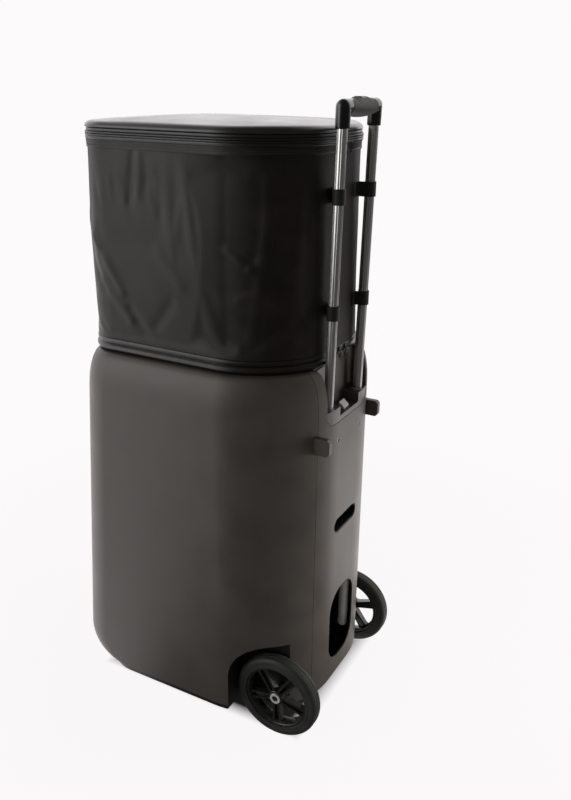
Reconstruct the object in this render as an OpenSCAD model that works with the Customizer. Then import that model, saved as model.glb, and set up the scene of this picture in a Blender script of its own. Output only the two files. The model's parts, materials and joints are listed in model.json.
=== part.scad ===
// Trolley ball machine: moulded body on two wheels, telescopic handle,
// zipped fabric hopper, carousel feeder and a tilting two-wheel launcher.
// Millimetres, +Z up, ball exit and handle towards -Y, origin under the middle.

/* [Body] */
// Width across the side faces
body_w = 421; // [405:1:440]
// Height of the top deck above the floor
body_top = 737; // [715:1:760]
// Height of the lower edge of the shell above the floor
body_bottom = 45; // [40:1:50]
// Front face to rear face at the deck
depth_top = 474; // [460:1:490]
// Front face to rear face at the lower edge, before the heel is rounded
depth_bottom = 529; // [510:1:545]
// Half width of the flat of the front, between its round corners
front_flat_hw = 45.5; // [38:0.5:54]
// Plan radius of the rear corners
rear_r = 75; // [60:1:85]
// Wall thickness of the shell and the front panel
wall = 3; // [2:0.1:4]
// How far the shoulder rounding comes in from the sides
shoulder_in = 24; // [20:1:28]
// Height of the shoulder rounding
shoulder_h = 72; // [50:1:90]
// Radius of the rounded lower rear edge
heel_r = 64; // [55:1:90]
// Radius of the rounded lower front edge
toe_r = 12; // [6:1:16]
// Half width of the separate front panel
panel_hw = 107; // [102:1:112]
// Depth of the front panel at the deck
panel_depth = 34; // [30:1:36]
// Seam between the front panel and the shell
seam = 0.6; // [0.3:0.1:1]
// Thickness of the base plate
base_t = 9; // [6:0.5:12]
// Step of the base plate inside the shell's outer face
base_in = 1.5; // [1:0.1:2]
// Height of the two rest lugs on the front
lug_h = 32; // [25:1:40]
// Width of a rest lug
lug_w = 13; // [11:0.5:16]
// Distance of a lug's middle from the centre line
lug_x = 109.5; // [106:0.5:114]
// Height of the lugs' middle above the floor
lug_z = 605.5; // [590:0.5:620]
// How far a lug stands in front of the front face
lug_out = 14.5; // [10:0.5:18]

/* [Openings] */
// Width of the ball exit
exit_w = 109; // [100:1:112]
// Height of the ball exit
exit_h = 166; // [150:1:175]
// Height of the exit's lower edge above the floor
exit_z = 92; // [88:1:100]
// Corner radius of the ball exit
exit_r = 46; // [30:1:48]
// Width of the hand-hold
hand_w = 97.5; // [88:0.5:102]
// Height of the hand-hold
hand_h = 31; // [28:1:36]
// Height of the hand-hold's middle above the floor
hand_z = 410.5; // [380:0.5:440]
// Depth of the hand-hold cup
cup_depth = 42; // [30:1:60]
// Wall of the hand-hold cup
cup_wall = 2; // [1.5:0.1:3]

/* [Wheels] */
// Wheel radius, which is also the height of the axle
wheel_r = 87; // [82:1:90]
// Tyre width
wheel_w = 29.5; // [26:0.5:32]
// Distance of the wheel's outer face from the centre line
wheel_out = 185; // [182:1:188]
// Axle behind the front face
wheel_y = 51; // [48:0.2:54]
// Wheel arch behind the axle
arch_rear = 92.5; // [91:0.5:96]
// Wheel arch above the axle
arch_up = 110; // [104:1:116]
// Radius of the wheel arch's upper corner
arch_r = 80; // [60:1:90]
// Inner wall of the wheel arch from the centre line
well_x = 150.5; // [148:0.5:152]
// Radius of the tyre's seat on the rim
seat_r = 66; // [60:0.5:70]
// Depth of the rim's outer ring
rim_t = 8; // [6:0.5:9]
// Hub radius
hub_r = 16; // [15:0.5:18]
// Spokes of a wheel
spokes = 5; // [4:1:7]
// Angle of a wheel's first spoke
spoke_turn = 108; // [90:1:160]
// Radius of the steel axle
axle_r = 6; // [5:0.5:7]
// Radius of the bright hub cap
cap_r = 11; // [9:0.5:13]

/* [Handle] */
// Outer radius of a sliding handle tube
tube_r = 8.75; // [8:0.25:9.5]
// Wall of the handle tubes and sleeves
tube_wall = 1.2; // [0.8:0.1:1.5]
// Distance between the two tubes
tube_pitch = 126.7; // [125:0.1:130]
// Tube centre behind the front face at the socket
tube_y = 14.6; // [14.5:0.1:16]
// Height of the socket's datum above the floor
socket_z = 640; // [630:1:650]
// Forward lean of the handle in degrees
lean = 1.07; // [0.9:0.01:1.3]
// Length of handle between the socket's datum and the grip, drawn out
handle_out = 496.7; // [480:0.1:510]
// Length of tube that stays in the sleeve, drawn out
tube_in = 40; // [30:1:60]
// Length of a sleeve below the socket's datum
sleeve_low = 525; // [500:1:535]
// Height of the grip
grip_h = 45; // [42:1:48]
// Radius of the grip's sockets
grip_r = 12.3; // [12:0.1:13]
// Radius of the grip's barrel
barrel_r = 14.7; // [14:0.1:15]
// Length of the push button on the grip
button_l = 30; // [22:1:36]
// Width of the push button
button_w = 13; // [10:0.5:15]
// Travel of the push button
button_travel = 3; // [2:0.5:4]
// Half width of the notch's floor
notch_hw = 72; // [70:1:76]
// Half width of the notch above its chamfers
notch_top_hw = 87.5; // [84:0.5:90]
// Height of the notch's lower edge above the floor
notch_z = 630; // [624:1:636]

/* [Hopper] */
// Width of the fabric hopper
bag_w = 360; // [352:1:366]
// Hopper's front behind the body's front face
bag_front = 25; // [25:0.5:30]
// Hopper's rear behind the body's front face
bag_rear = 464; // [450:1:470]
// Plan radius of the hopper's front corners
bag_front_r = 152; // [140:1:156]
// Plan radius of the hopper's rear corners
bag_rear_r = 66; // [55:1:72]
// Thickness of the fabric wall with its lining
bag_t = 3; // [2:0.5:5]
// Height of the base band
band_h = 26; // [22:1:32]
// How far the base band stands out of the fabric
band_out = 6.5; // [5:0.5:6.5]
// How far the zipped rim stands out of the fabric
rim_out = 2; // [1.5:0.5:4]
// Depth of the bands inside the fabric's face
band_in = 6; // [5:0.5:8]
// Height of the rim's lower edge above the floor
rim_z = 1110; // [1090:1:1120]
// Height of each half of the zipped rim
rim_h = 9.5; // [8:0.5:12]
// Height of the padded lid above the rim
lid_h = 18; // [14:1:26]
// Height of a strap
strap_h = 25.5; // [20:0.5:30]
// Thickness of a strap
strap_t = 1.8; // [1.2:0.1:2.5]
// Height of the lower straps' middle above the floor
strap_low_z = 837; // [815:1:860]
// Height of the upper straps' middle above the floor
strap_high_z = 1031.5; // [1010:0.5:1050]

/* [Feeder] */
// Radius of the round feeder dish
dish_r = 153; // [150:1:156]
// Height of the dish floor above the floor
dish_z = 655; // [640:1:665]
// Radius of the feeder disc
disc_r = 149; // [140:1:149]
// Thickness of the feeder disc
disc_t = 30; // [24:1:36]
// Ball pockets round the disc
pockets = 6; // [5:1:6]
// Radius of a ball pocket
pocket_r = 41; // [40:0.5:43]
// Distance of a pocket's middle from the disc's axis
pocket_at = 115; // [112:1:118]
// Inner radius of the drop tube
drop_r = 43; // [41:0.5:45]
// Sheet thickness of tray, drop tube and feed ramp
tray_t = 3; // [2:0.5:4]
// Radius of the feeder motor
feeder_motor_r = 26; // [20:1:30]
// Length of the feeder motor
feeder_motor_h = 80; // [60:1:95]

/* [Launcher] */
// Radius of the ball
ball_r = 37; // [33:0.5:37]
// Launcher's tilt axis behind the front face
launch_y = 180; // [175:1:190]
// Height of the launcher's tilt axis above the floor
launch_z = 172; // [168:1:176]
// Radius of a throwing wheel
throw_r = 45; // [40:1:48]
// Thickness of a throwing wheel
throw_t = 44; // [36:1:48]
// Half of the gap between the throwing wheels
throw_gap = 33; // [29:0.5:34]
// Half depth of the launcher frame
frame_d = 46; // [42:1:48]
// Sheet thickness of the launcher frame
frame_t = 4; // [3:0.5:5]
// Radius of the tilt pins
pin_r = 6; // [5:0.5:7]
// Radius of the throwing motors
throw_motor_r = 24; // [20:1:27]
// Length of the throwing motors
throw_motor_h = 65; // [50:1:75]
// Radius of the motor shafts
shaft_r = 5; // [4:0.5:6]
// Radius of the tilt gear motor
tilt_motor_r = 20; // [16:1:24]
// Length of the tilt gear motor
tilt_motor_l = 36; // [30:1:40]

/* [Controls] */
// Half width of the control recess
control_hw = 90; // [80:1:100]
// Height of the control recess
control_h = 110; // [90:1:130]
// Height of the recess's middle above the floor
control_z = 530; // [480:1:560]
// Least depth of the recess below the rear face
control_depth = 15; // [12:0.5:20]
// Thickness of the control panel
control_t = 3; // [2:0.5:4]
// Radius of a dial
dial_r = 13; // [10:0.5:16]
// Height of a dial
dial_h = 11; // [8:0.5:14]
// Radius of the power rocker
rocker_r = 11; // [9:0.5:12]
// Width of the power rocker
rocker_w = 16; // [12:0.5:20]
// Radius of the charging inlet's flange
inlet_r = 11; // [9:0.5:13]

/* [Clearances] */
// Between parts that move past each other
gap = 0.3; // [0.25:0.05:0.5]
// Radial running clearance of a shaft in its bore
run = 0.05; // [0.02:0.01:0.1]

/* [Hidden] */
$fn = 64;
// Overshoot of a cut past the face it opens
over = 1;
// Steps along a front corner, a rear corner, the shoulder and the heel
front_steps = 20;
rear_steps = 10;
shoulder_steps = 6;
heel_steps = 8;
// Extent of a block that cuts everything on one side
far = 2000;

half_w = body_w / 2;
front_r = half_w - front_flat_hw;
rear_max = rear_at(body_bottom + heel_r);
mid_y = (rear_max + wheel_y - wheel_r) / 2;
base_z = body_bottom - base_t;
foot_r = 20;
foot_x = 125;
foot_screw_x = 60;
foot_y = 395;
lug_in = 22;

wheel_mid = wheel_out - wheel_w / 2;
hub_out = wheel_w / 2 - 1;
hub_in = wheel_mid - well_x - 2;
axle_end = hub_out - 4;
cap_h = 2.5;
axle_bracket_x = 98;
axle_bracket_t = 12;
axle_bracket_hw = 16;

sleeve_r = tube_r + gap + tube_wall;
sleeve_floor = 2;
collar_top = socket_z + 19;
sleeve_high = collar_top - socket_z;
tube_high = handle_out + 22;
grip_bar_z = handle_out + grip_h - grip_r;
button_z = handle_out + grip_h - 9;
button_h = 12;
collar_in = 40;
lip_top = notch_z + 11;
latch_w = 22;
latch_front = 7;
latch_d = 12;
latch_low = 4.5;
latch_high = 13.5;
notch_chamfer = notch_top_hw - notch_hw;
socket_back = panel_depth + wall;
socket_top = body_top - wall - 3;
socket_side = 2.5;
socket_plate_z = notch_z - 59;
socket_plate_hw = 51;
socket_plate_y = wall + 0.5;
socket_plate_t = 4;
screw_x = 46;
screw_z = notch_z - 35;
screw_r = 4;
shank_r = 2;

bag_hw = bag_w / 2;
band_top = body_top + band_h;
rim_top = rim_z + rim_h;
lid_z = rim_top + gap;
bead_z = 5;
bead_h = 10;
bead_out = 3;
tape_hw = 110;
lid_edge = 2;

tray_flange_t = 6;
deck_hw = 165;
deck_front = 62;
deck_rear = 438;
deck_front_r = 130;
deck_rear_r = 45;
dish_y = (deck_front + deck_rear) / 2;
tray_floor_z = body_top - 32;
drop_y = dish_y + pocket_at;
disc_z = dish_z + tray_t + 3;
drop_low = 250;
ramp_hw = drop_r + tray_t;
ramp_clear = 62;
ramp_rise = 62;
ramp_front = launch_y + ramp_clear;
ramp_rear = drop_y + ramp_hw + 4;
ramp_low = launch_z - ball_r - tray_t;
ramp_high = ramp_low + ramp_rise;
ramp_lip = launch_z + ball_r;

throw_x = throw_gap + throw_r;
frame_h = throw_t / 2 + 8;
frame_hw = throw_x + throw_r + frame_t + 5;
bracket_x = frame_hw + 6;
bracket_t = 8;
bracket_hw = 16;
pin_out = bracket_x + bracket_t + 4;

control_y = rear_at(control_z + control_h / 2) - control_depth;
window_in = 10;
rocker_x = -58;
speed_x = -10;
feed_x = 34;
inlet_x = 70;
dial_shaft_r = 3;
inlet_bore_r = 5;
inlet_barrel_r = 8;

battery_size = [122, 130, 110];
battery_at = [half_w - wall - 15 - battery_size[0], 278];
battery_grip = [80, 24, 6];
board_size = [130, 1.6, 78];
board_off = 12;

body_grey = "#3f3c3a";
black = "#161616";
rubber_grey = "#232323";
alloy = "#a9aaa8";
steel = "#8c8f92";
web_black = "#1b1a19";
fabric_black = "#23211f";

// Rear face at a height, along its straight lean
function rear_at(z) = depth_bottom
    + (depth_top - depth_bottom) * (z - body_bottom) / (body_top - body_bottom);

// How far the rounded lower front edge comes in at a height
function toe_at(z) = let (t = min(1, max(0, (z - body_bottom) / toe_r)))
    toe_r * (1 - sqrt(1 - (1 - t) * (1 - t)));

// Points of an arc about a centre
function arc_points(cx, cy, r, from, to, steps) =
    [for (i = [0:steps]) let (a = from + (to - from) * i / steps) [cx + r * cos(a), cy + r * sin(a)]];

// Plan outline with large front corners and smaller rear corners
function outline(hw, front, rear, rf, rr, nf = front_steps, nr = rear_steps) = concat(
    arc_points(hw - rf, front + rf, rf, -90, 0, nf),
    arc_points(hw - rr, rear - rr, rr, 0, 90, nr),
    arc_points(rr - hw, rear - rr, rr, 90, 180, nr),
    arc_points(rf - hw, front + rf, rf, 180, 270, nf));

// Lifts plan points to a height
function at_height(z, points) = [for (p = points) [p[0], p[1], z]];

// Front of the hopper's fabric at a distance from the centre line
function bag_front_at(x) = let (d = max(0, abs(x) - bag_hw + bag_front_r))
    bag_front + bag_front_r - sqrt(bag_front_r * bag_front_r - d * d);

// Tube centre at a height above the floor
function tube_y_at(z) = tube_y - (z - socket_z) * tan(lean);

// Puts the model's middle over the origin
module place() {
    translate([0, -mid_y, 0]) children();
}

// Carries a part in the leaning frame of the handle
module in_handle() {
    place() translate([0, tube_y, socket_z]) rotate([lean, 0, 0]) children();
}

// One ring of the body at a height, moved in by an offset
function body_ring(z, off, inset = 0, heel = 0) = let (in = off + inset)
    at_height(z, outline(half_w - in, in + toe_at(z), rear_at(z) - in - heel, front_r - in, rear_r - in));

// Solid form of the body, moved in by an offset and open downwards if it is a hollow
module body_form(off = 0) {
    heel_rings = [for (i = [0:heel_steps]) let (a = 90 * i / heel_steps)
        body_ring(body_bottom + heel_r * (1 - cos(a)), off, 0, heel_r * (1 - sin(a)))];
    shoulder_rings = [for (i = [0:shoulder_steps]) let (a = 90 * i / shoulder_steps)
        body_ring(body_top - off - shoulder_h * (1 - sin(a)), off, shoulder_in * (1 - cos(a)))];
    below = [for (p = heel_rings[0]) [0, 0, over]];
    opening = off > 0 ? [body_ring(body_bottom, off, 0, heel_r) - below] : [];
    loft(concat(opening, heel_rings, shoulder_rings));
}

// Wheel arches on both sides, moved out by a wall, from a distance outwards
module arches(out, from) {
    corner = [wheel_y + arch_rear - arch_r, wheel_r + arch_up - arch_r];
    reach = arch_r + out;
    for (side = [-1, 1])
        translate([side * (from + far / 2), 0, 0]) across_x(far) {
            translate(corner) circle(r = reach);
            translate([-far, -far]) square([far + corner[0] + reach, far + corner[1]]);
            translate([-far, -far]) square([far + corner[0], far + corner[1] + reach]);
        }
}

// Closed skin over rings of equal point counts, from the lowest ring to the highest
module loft(rings) {
    n = len(rings[0]);
    last = len(rings) - 1;
    points = [for (r = rings) each r];
    sides = [for (j = [0:last - 1], i = [0:n - 1])
        let (a = j * n + i, b = j * n + (i + 1) % n) each [[a, a + n, b + n], [a, b + n, b]]];
    floor_face = [for (i = [0:n - 1]) i];
    top_face = [for (i = [n - 1:-1:0]) last * n + i];
    polyhedron(points, concat([floor_face], sides, [top_face]));
}

// Upright prism over a plan outline
module prism(points, z, h) {
    translate([0, 0, z]) linear_extrude(h) polygon(points);
}

// Plan outline of the hopper, moved out by an offset
function bag_outline(off) = outline(bag_hw + off, bag_front - off, bag_rear + off,
    bag_front_r + off, bag_rear_r + off);

// Plan outline of the opening in the deck, moved in by an offset
function deck_outline(in) = outline(deck_hw - in, deck_front + in, deck_rear - in,
    deck_front_r - in, deck_rear_r - in);

// Ring between two offsets of the hopper's outline
module bag_ring(outer, inner, z, h) {
    difference() {
        prism(bag_outline(outer), z, h);
        prism(bag_outline(inner), z - over, h + 2 * over);
    }
}

// Rectangle with round corners, centred
module round_rect(w, h, r) {
    square([w - 2 * r, h], center = true);
    square([w, h - 2 * r], center = true);
    for (x = [-1, 1], y = [-1, 1])
        translate([x * (w / 2 - r), y * (h / 2 - r)]) circle(r = r);
}

// Slot with round ends, centred
module stadium(w, h) {
    square([w - h, h], center = true);
    for (x = [-1, 1]) translate([x * (w - h) / 2, 0]) circle(r = h / 2);
}

// Stretches an XZ outline backwards from one depth to another
module along_y(from, to) {
    translate([0, to, 0]) rotate([90, 0, 0]) linear_extrude(to - from) children();
}

// Block that the front panel takes out of the shell
module panel_block(hw) {
    translate([-hw, -over, base_z]) cube([2 * hw, panel_depth + over, far]);
}

// Outline of the handle's notch in the front, moved in by an offset
module notch_shape(in) {
    polygon([
        [in - notch_hw, notch_z + in],
        [notch_hw - in, notch_z + in],
        [notch_top_hw - in, notch_z + notch_chamfer + in],
        [notch_top_hw - in, body_top + over],
        [in - notch_top_hw, body_top + over],
        [in - notch_top_hw, notch_z + notch_chamfer + in]
    ]);
}

// Block of one rest lug
module lug_block(side) {
    translate([side * lug_x - lug_w / 2, -lug_out, lug_z - lug_h / 2])
        cube([lug_w, lug_out + lug_in, lug_h]);
}

// Control recess, moved out by a wall
module control_block(out) {
    translate([-control_hw - out, control_y - out, control_z - control_h / 2 - out])
        cube([2 * (control_hw + out), far, control_h + 2 * out]);
}

module body_shell() {
    color(body_grey) place() difference() {
        union() {
            difference() {
                body_form();
                body_form(wall);
            }
            intersection() {
                body_form();
                union() {
                    arches(wall, well_x - wall);
                    control_block(wall);
                }
            }
        }
        arches(0, well_x);
        control_block(0);
        panel_block(panel_hw);
        prism(deck_outline(0), body_top - shoulder_h, far);
        translate([window_in - control_hw, control_y - wall - over, control_z - control_h / 2 + window_in])
            cube([2 * (control_hw - window_in), wall + 2 * over, control_h - 2 * window_in]);
        translate([0, wheel_y, wheel_r]) rotate([0, 90, 0])
            cylinder(r = axle_r + gap, h = body_w, center = true);
        for (side = [-1, 1]) lug_block(side);
    }
}

module front_panel() {
    color(body_grey) place() difference() {
        intersection() {
            difference() {
                body_form();
                body_form(wall);
            }
            panel_block(panel_hw - seam);
        }
        along_y(-over, panel_depth + over) notch_shape(0);
        along_y(-over, panel_depth)
            translate([0, exit_z + exit_h / 2]) round_rect(exit_w, exit_h, exit_r);
        along_y(-over, panel_depth)
            translate([0, hand_z]) stadium(hand_w, hand_h);
        for (side = [-1, 1]) {
            lug_block(side);
            translate([side * screw_x, -over, screw_z]) rotate([-90, 0, 0])
                cylinder(r = screw_r + gap, h = panel_depth);
        }
    }
}

module base_plate() {
    in = base_in;
    points = outline(half_w - in, toe_r + in, rear_at(body_bottom) - heel_r - in, front_r - in, rear_r - in);
    color(black) place() difference() {
        prism(points, base_z, base_t);
        for (side = [-1, 1])
            translate([side > 0 ? well_x - wall - gap : -far, -over, base_z - over])
                cube([far - well_x + wall + gap, wheel_y + arch_rear + wall + over, base_t + 2 * over]);
        base_screw_places() translate([0, 0, base_z - over]) cylinder(r = screw_r + gap, h = 4 + over);
        base_screw_places() translate([0, 0, base_z]) cylinder(r = shank_r, h = base_t + over);
    }
}

// Places of the screws that come up through the base plate
module base_screw_places() {
    for (side = [-1, 1]) {
        translate([side * axle_bracket_x, wheel_y, 0]) children();
        translate([side * (bracket_x + bracket_t / 2), launch_y, 0]) children();
        translate([side * foot_screw_x, foot_y, 0]) children();
    }
}

module rear_foot(side) {
    color(rubber_grey) place() translate([side * foot_x, foot_y, 0]) {
        cylinder(r = foot_r - 2, h = 3);
        translate([0, 0, 3]) cylinder(r = foot_r, h = base_z - 3);
    }
}

module rest_lug(side) {
    color(body_grey) place() difference() {
        lug_block(side);
        translate([side * lug_x, -lug_out, lug_z + lug_h / 2]) rotate([45, 0, 0])
            cube([2 * lug_w, 7, 7], center = true);
        translate([side * lug_x, -lug_out, lug_z - lug_h / 2]) rotate([45, 0, 0])
            cube([2 * lug_w, 7, 7], center = true);
    }
}

// Bores for the two sleeves
module sleeve_bores(r) {
    for (side = [-1, 1])
        translate([0, tube_y, socket_z]) rotate([lean, 0, 0])
            translate([side * tube_pitch / 2, 0, -far / 2]) cylinder(r = r, h = far);
}

module handle_socket() {
    color(black) place() difference() {
        union() {
            intersection() {
                body_form(seam);
                difference() {
                    along_y(0, socket_back) notch_shape(seam);
                    along_y(-over, socket_back - wall) intersection() {
                        notch_shape(seam + socket_side);
                        translate([-far / 2, lip_top]) square([far, far]);
                    }
                }
            }
            intersection() {
                body_form(seam);
                along_y(0, socket_back - wall) difference() {
                    intersection() {
                        notch_shape(seam);
                        translate([-far / 2, 0]) square([far, collar_top]);
                    }
                    translate([-collar_in, 0]) square([2 * collar_in, far]);
                }
            }
            translate([-socket_plate_hw, socket_plate_y, socket_plate_z])
                cube([2 * socket_plate_hw, socket_plate_t, notch_z + seam - socket_plate_z]);
        }
        sleeve_bores(sleeve_r + run);
        translate([0, 0, socket_top]) linear_extrude(far) square(far, center = true);
        for (side = [-1, 1])
            translate([side * screw_x, 0, screw_z]) rotate([-90, 0, 0])
                cylinder(r = shank_r, h = socket_back);
    }
}

module latch_cover() {
    rear = latch_front + latch_d;
    color("#5b5957") place() across_x(latch_w) polygon([
        [latch_front, lip_top], [latch_front, lip_top + latch_low],
        [rear - 2, lip_top + latch_high], [rear, lip_top + latch_high], [rear, lip_top]
    ]);
}

module sleeve(side) {
    color(alloy) in_handle() translate([side * tube_pitch / 2, 0, -sleeve_low]) difference() {
        cylinder(r = sleeve_r, h = sleeve_low + sleeve_high);
        translate([0, 0, sleeve_floor]) cylinder(r = tube_r + gap, h = far);
    }
}

module handle_tube(side) {
    groove_r = 1.3;
    color(alloy) in_handle() translate([side * tube_pitch / 2, 0, -tube_in]) difference() {
        cylinder(r = tube_r, h = tube_in + tube_high);
        translate([0, 0, -over]) cylinder(r = tube_r - tube_wall - groove_r, h = far);
        for (a = [-115, -65, 65, 115]) rotate([0, 0, a])
            translate([tube_r + 0.5, 0, -over]) cylinder(r = groove_r, h = tube_in + handle_out);
    }
}

// Stadium outline of the push button
module button_shape(out) {
    stadium(button_l + 2 * out, button_w + 2 * out);
}

module handle_grip() {
    barrel_x = 26;
    barrel_z = handle_out + grip_h - barrel_r;
    color(black) in_handle() difference() {
        union() {
            for (side = [-1, 1])
                translate([side * tube_pitch / 2, 0, handle_out]) cylinder(r = grip_r, h = grip_h - grip_r);
            hull() for (side = [-1, 1]) {
                translate([side * tube_pitch / 2, 0, grip_bar_z]) sphere(r = grip_r, $fn = 32);
                translate([side * barrel_x, 0, barrel_z]) sphere(r = barrel_r, $fn = 32);
            }
        }
        for (side = [-1, 1])
            translate([side * tube_pitch / 2, 0, handle_out - over])
                cylinder(r = tube_r, h = tube_high - handle_out + over);
        translate([0, 0, button_z - button_travel - 1]) linear_extrude(far) button_shape(gap);
    }
}

module release_button() {
    color("#26282a") in_handle() translate([0, 0, button_z]) linear_extrude(button_h) button_shape(0);
}

module axle() {
    length = 2 * (wheel_mid + axle_end);
    color(steel) place() translate([0, wheel_y, wheel_r]) rotate([0, 90, 0])
        cylinder(r = axle_r, h = length, center = true);
}

module axle_bracket(side) {
    top = wheel_r + axle_r + 8;
    color(steel) place() difference() {
        translate([side * axle_bracket_x - axle_bracket_t / 2, wheel_y - axle_bracket_hw, body_bottom])
            cube([axle_bracket_t, 2 * axle_bracket_hw, top - body_bottom]);
        translate([0, wheel_y, wheel_r]) rotate([0, 90, 0])
            cylinder(r = axle_r + run, h = body_w, center = true);
    }
}

// Carries a part on a wheel's axis, with local +Z outwards
module on_wheel(side) {
    place() translate([side * wheel_mid, wheel_y, wheel_r]) rotate([0, side * 90, 0]) children();
}

module wheel_rim(side) {
    spoke_w = 17;
    rib_w = 4.5;
    rib_h = 11;
    web_t = 5;
    ring_w = wheel_w - 6;
    spoke_l = seat_r - rim_t / 2 - hub_r / 2;
    color(black) on_wheel(side) difference() {
        union() {
            difference() {
                cylinder(r = seat_r, h = ring_w, center = true);
                cylinder(r = seat_r - rim_t, h = wheel_w, center = true);
            }
            translate([0, 0, -hub_in]) cylinder(r = hub_r, h = hub_in + hub_out);
            for (i = [0:spokes - 1])
                rotate([0, 0, spoke_turn + i * 360 / spokes]) translate([hub_r / 2, 0, 0]) {
                    translate([0, -spoke_w / 2, -web_t]) cube([spoke_l, spoke_w, web_t]);
                    for (s = [-1, 1])
                        translate([0, s * (spoke_w - rib_w) / 2 - rib_w / 2, -over])
                            cube([spoke_l, rib_w, rib_h + over]);
                }
        }
        cylinder(r = axle_r + run, h = far, center = true);
    }
}

module tyre(side) {
    edge_r = 9;
    color(rubber_grey) on_wheel(side) rotate_extrude() {
        translate([seat_r, -wheel_w / 2]) square([wheel_r - edge_r - seat_r, wheel_w]);
        translate([seat_r, edge_r - wheel_w / 2]) square([wheel_r - seat_r, wheel_w - 2 * edge_r]);
        for (s = [-1, 1])
            translate([wheel_r - edge_r, s * (wheel_w / 2 - edge_r)]) circle(r = edge_r);
    }
}

module hub_cap(side) {
    color("#c9c9c6") on_wheel(side) translate([0, 0, hub_out]) difference() {
        cylinder(r = cap_r, h = cap_h);
        translate([0, 0, cap_h - 0.8]) cylinder(r = cap_r - 2.5, h = over);
    }
}

module hand_hold_cup() {
    front = 1;
    color(black) place() difference() {
        along_y(front, front + cup_depth)
            translate([0, hand_z]) stadium(hand_w, hand_h);
        along_y(front - over, front + cup_depth - cup_wall)
            translate([0, hand_z]) stadium(hand_w - 2 * cup_wall, hand_h - 2 * cup_wall);
    }
}

module hopper_tray() {
    floor_z = tray_floor_z;
    fit = 0.4;
    color(web_black) place() difference() {
        union() {
            prism(bag_outline(-band_in), body_top, tray_flange_t);
            prism(deck_outline(fit), floor_z, body_top - floor_z);
            translate([0, dish_y, dish_z]) cylinder(r = dish_r + tray_t, h = floor_z - dish_z);
        }
        prism(deck_outline(fit + tray_t), floor_z + tray_t, far);
        translate([0, dish_y, dish_z + tray_t]) cylinder(r = dish_r, h = far);
        translate([0, drop_y, dish_z - over]) cylinder(r = drop_r, h = tray_t + 2 * over);
        translate([0, dish_y, dish_z - over]) cylinder(r = shaft_r + gap, h = tray_t + 2 * over);
    }
}

module feeder_disc() {
    cone_h = 30;
    color("#3a3d40") place() translate([0, dish_y, 0]) {
        translate([0, 0, disc_z]) difference() {
            cylinder(r = disc_r, h = disc_t);
            for (i = [0:pockets - 1]) rotate([0, 0, 90 + i * 360 / pockets])
                translate([pocket_at, 0, -over]) cylinder(r = pocket_r, h = disc_t + 2 * over);
        }
        translate([0, 0, disc_z + disc_t]) cylinder(r1 = pocket_at - pocket_r - 12, r2 = 12, h = cone_h);
        translate([0, 0, dish_z - 10]) cylinder(r = shaft_r, h = disc_z - dish_z + 10);
    }
}

module feeder_motor() {
    color(steel) place() translate([0, dish_y, dish_z - feeder_motor_h]) difference() {
        cylinder(r = feeder_motor_r, h = feeder_motor_h);
        translate([0, 0, feeder_motor_h - 12]) cylinder(r = shaft_r + run, h = 12 + over);
    }
}

module drop_tube() {
    color(web_black) place() translate([0, drop_y, drop_low]) difference() {
        cylinder(r = drop_r + tray_t, h = dish_z - drop_low);
        translate([0, 0, -over]) cylinder(r = drop_r, h = far);
    }
}

// Stretches a YZ outline across X, centred
module across_x(w) {
    translate([-w / 2, 0, 0]) rotate([90, 0, 90]) linear_extrude(w) children();
}

module feed_ramp() {
    slope = (ramp_high - ramp_low) / (ramp_rear - ramp_front);
    leg_y = (ramp_front + ramp_rear) / 2;
    leg_t = 12;
    leg_top = ramp_low + slope * (leg_y - ramp_front);
    color(web_black) place() union() {
        difference() {
            across_x(2 * ramp_hw) polygon([
                [ramp_front, ramp_low], [ramp_rear, ramp_high], [ramp_rear, drop_low],
                [drop_y - ramp_hw, drop_low], [ramp_front, ramp_lip]
            ]);
            across_x(2 * drop_r) polygon([
                [ramp_front - over, ramp_low + tray_t], [ramp_front, ramp_low + tray_t],
                [ramp_rear - tray_t, ramp_high + tray_t], [ramp_rear - tray_t, far], [ramp_front - over, far]
            ]);
        }
        across_x(40) polygon([
            [leg_y, body_bottom], [leg_y + leg_t, body_bottom],
            [leg_y + leg_t, leg_top + slope * leg_t], [leg_y, leg_top]
        ]);
    }
}

// Carries a part on the launcher's tilt axis
module on_launcher() {
    place() translate([0, launch_y, launch_z]) children();
}

module launcher_frame() {
    color("#4a4d50") on_launcher() difference() {
        union() {
            for (s = [-1, 1]) {
                translate([-frame_hw, -frame_d, s > 0 ? frame_h - frame_t : -frame_h])
                    cube([2 * frame_hw, 2 * frame_d, frame_t]);
                translate([s > 0 ? frame_hw - frame_t : -frame_hw, -frame_d, -frame_h])
                    cube([frame_t, 2 * frame_d, 2 * frame_h]);
                rotate([0, s * 90, 0]) translate([0, 0, frame_hw - frame_t])
                    cylinder(r = pin_r, h = pin_out - frame_hw + frame_t);
            }
        }
        for (s = [-1, 1])
            translate([s * throw_x, 0, -far / 2]) cylinder(r = shaft_r + run, h = far);
    }
}

module throw_wheel(side) {
    shaft_low = frame_h + 15;
    color("#77706a") on_launcher() translate([side * throw_x, 0, 0]) {
        difference() {
            cylinder(r = throw_r, h = throw_t, center = true);
            rotate_extrude() translate([throw_x, 0]) circle(r = ball_r);
        }
        translate([0, 0, -shaft_low]) cylinder(r = shaft_r, h = shaft_low + frame_h - 1);
    }
}

module throw_motor(side) {
    color(steel) on_launcher() translate([side * throw_x, 0, -frame_h - throw_motor_h]) difference() {
        cylinder(r = throw_motor_r, h = throw_motor_h);
        translate([0, 0, throw_motor_h - 20]) cylinder(r = shaft_r + run, h = 20 + over);
    }
}

module launcher_bracket(side) {
    color(steel) place() difference() {
        translate([side * (bracket_x + bracket_t / 2) - bracket_t / 2, launch_y - bracket_hw, body_bottom])
            cube([bracket_t, 2 * bracket_hw, launch_z + pin_r + 8 - body_bottom]);
        translate([0, launch_y, launch_z]) rotate([0, 90, 0])
            cylinder(r = pin_r + run, h = body_w, center = true);
    }
}

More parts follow.
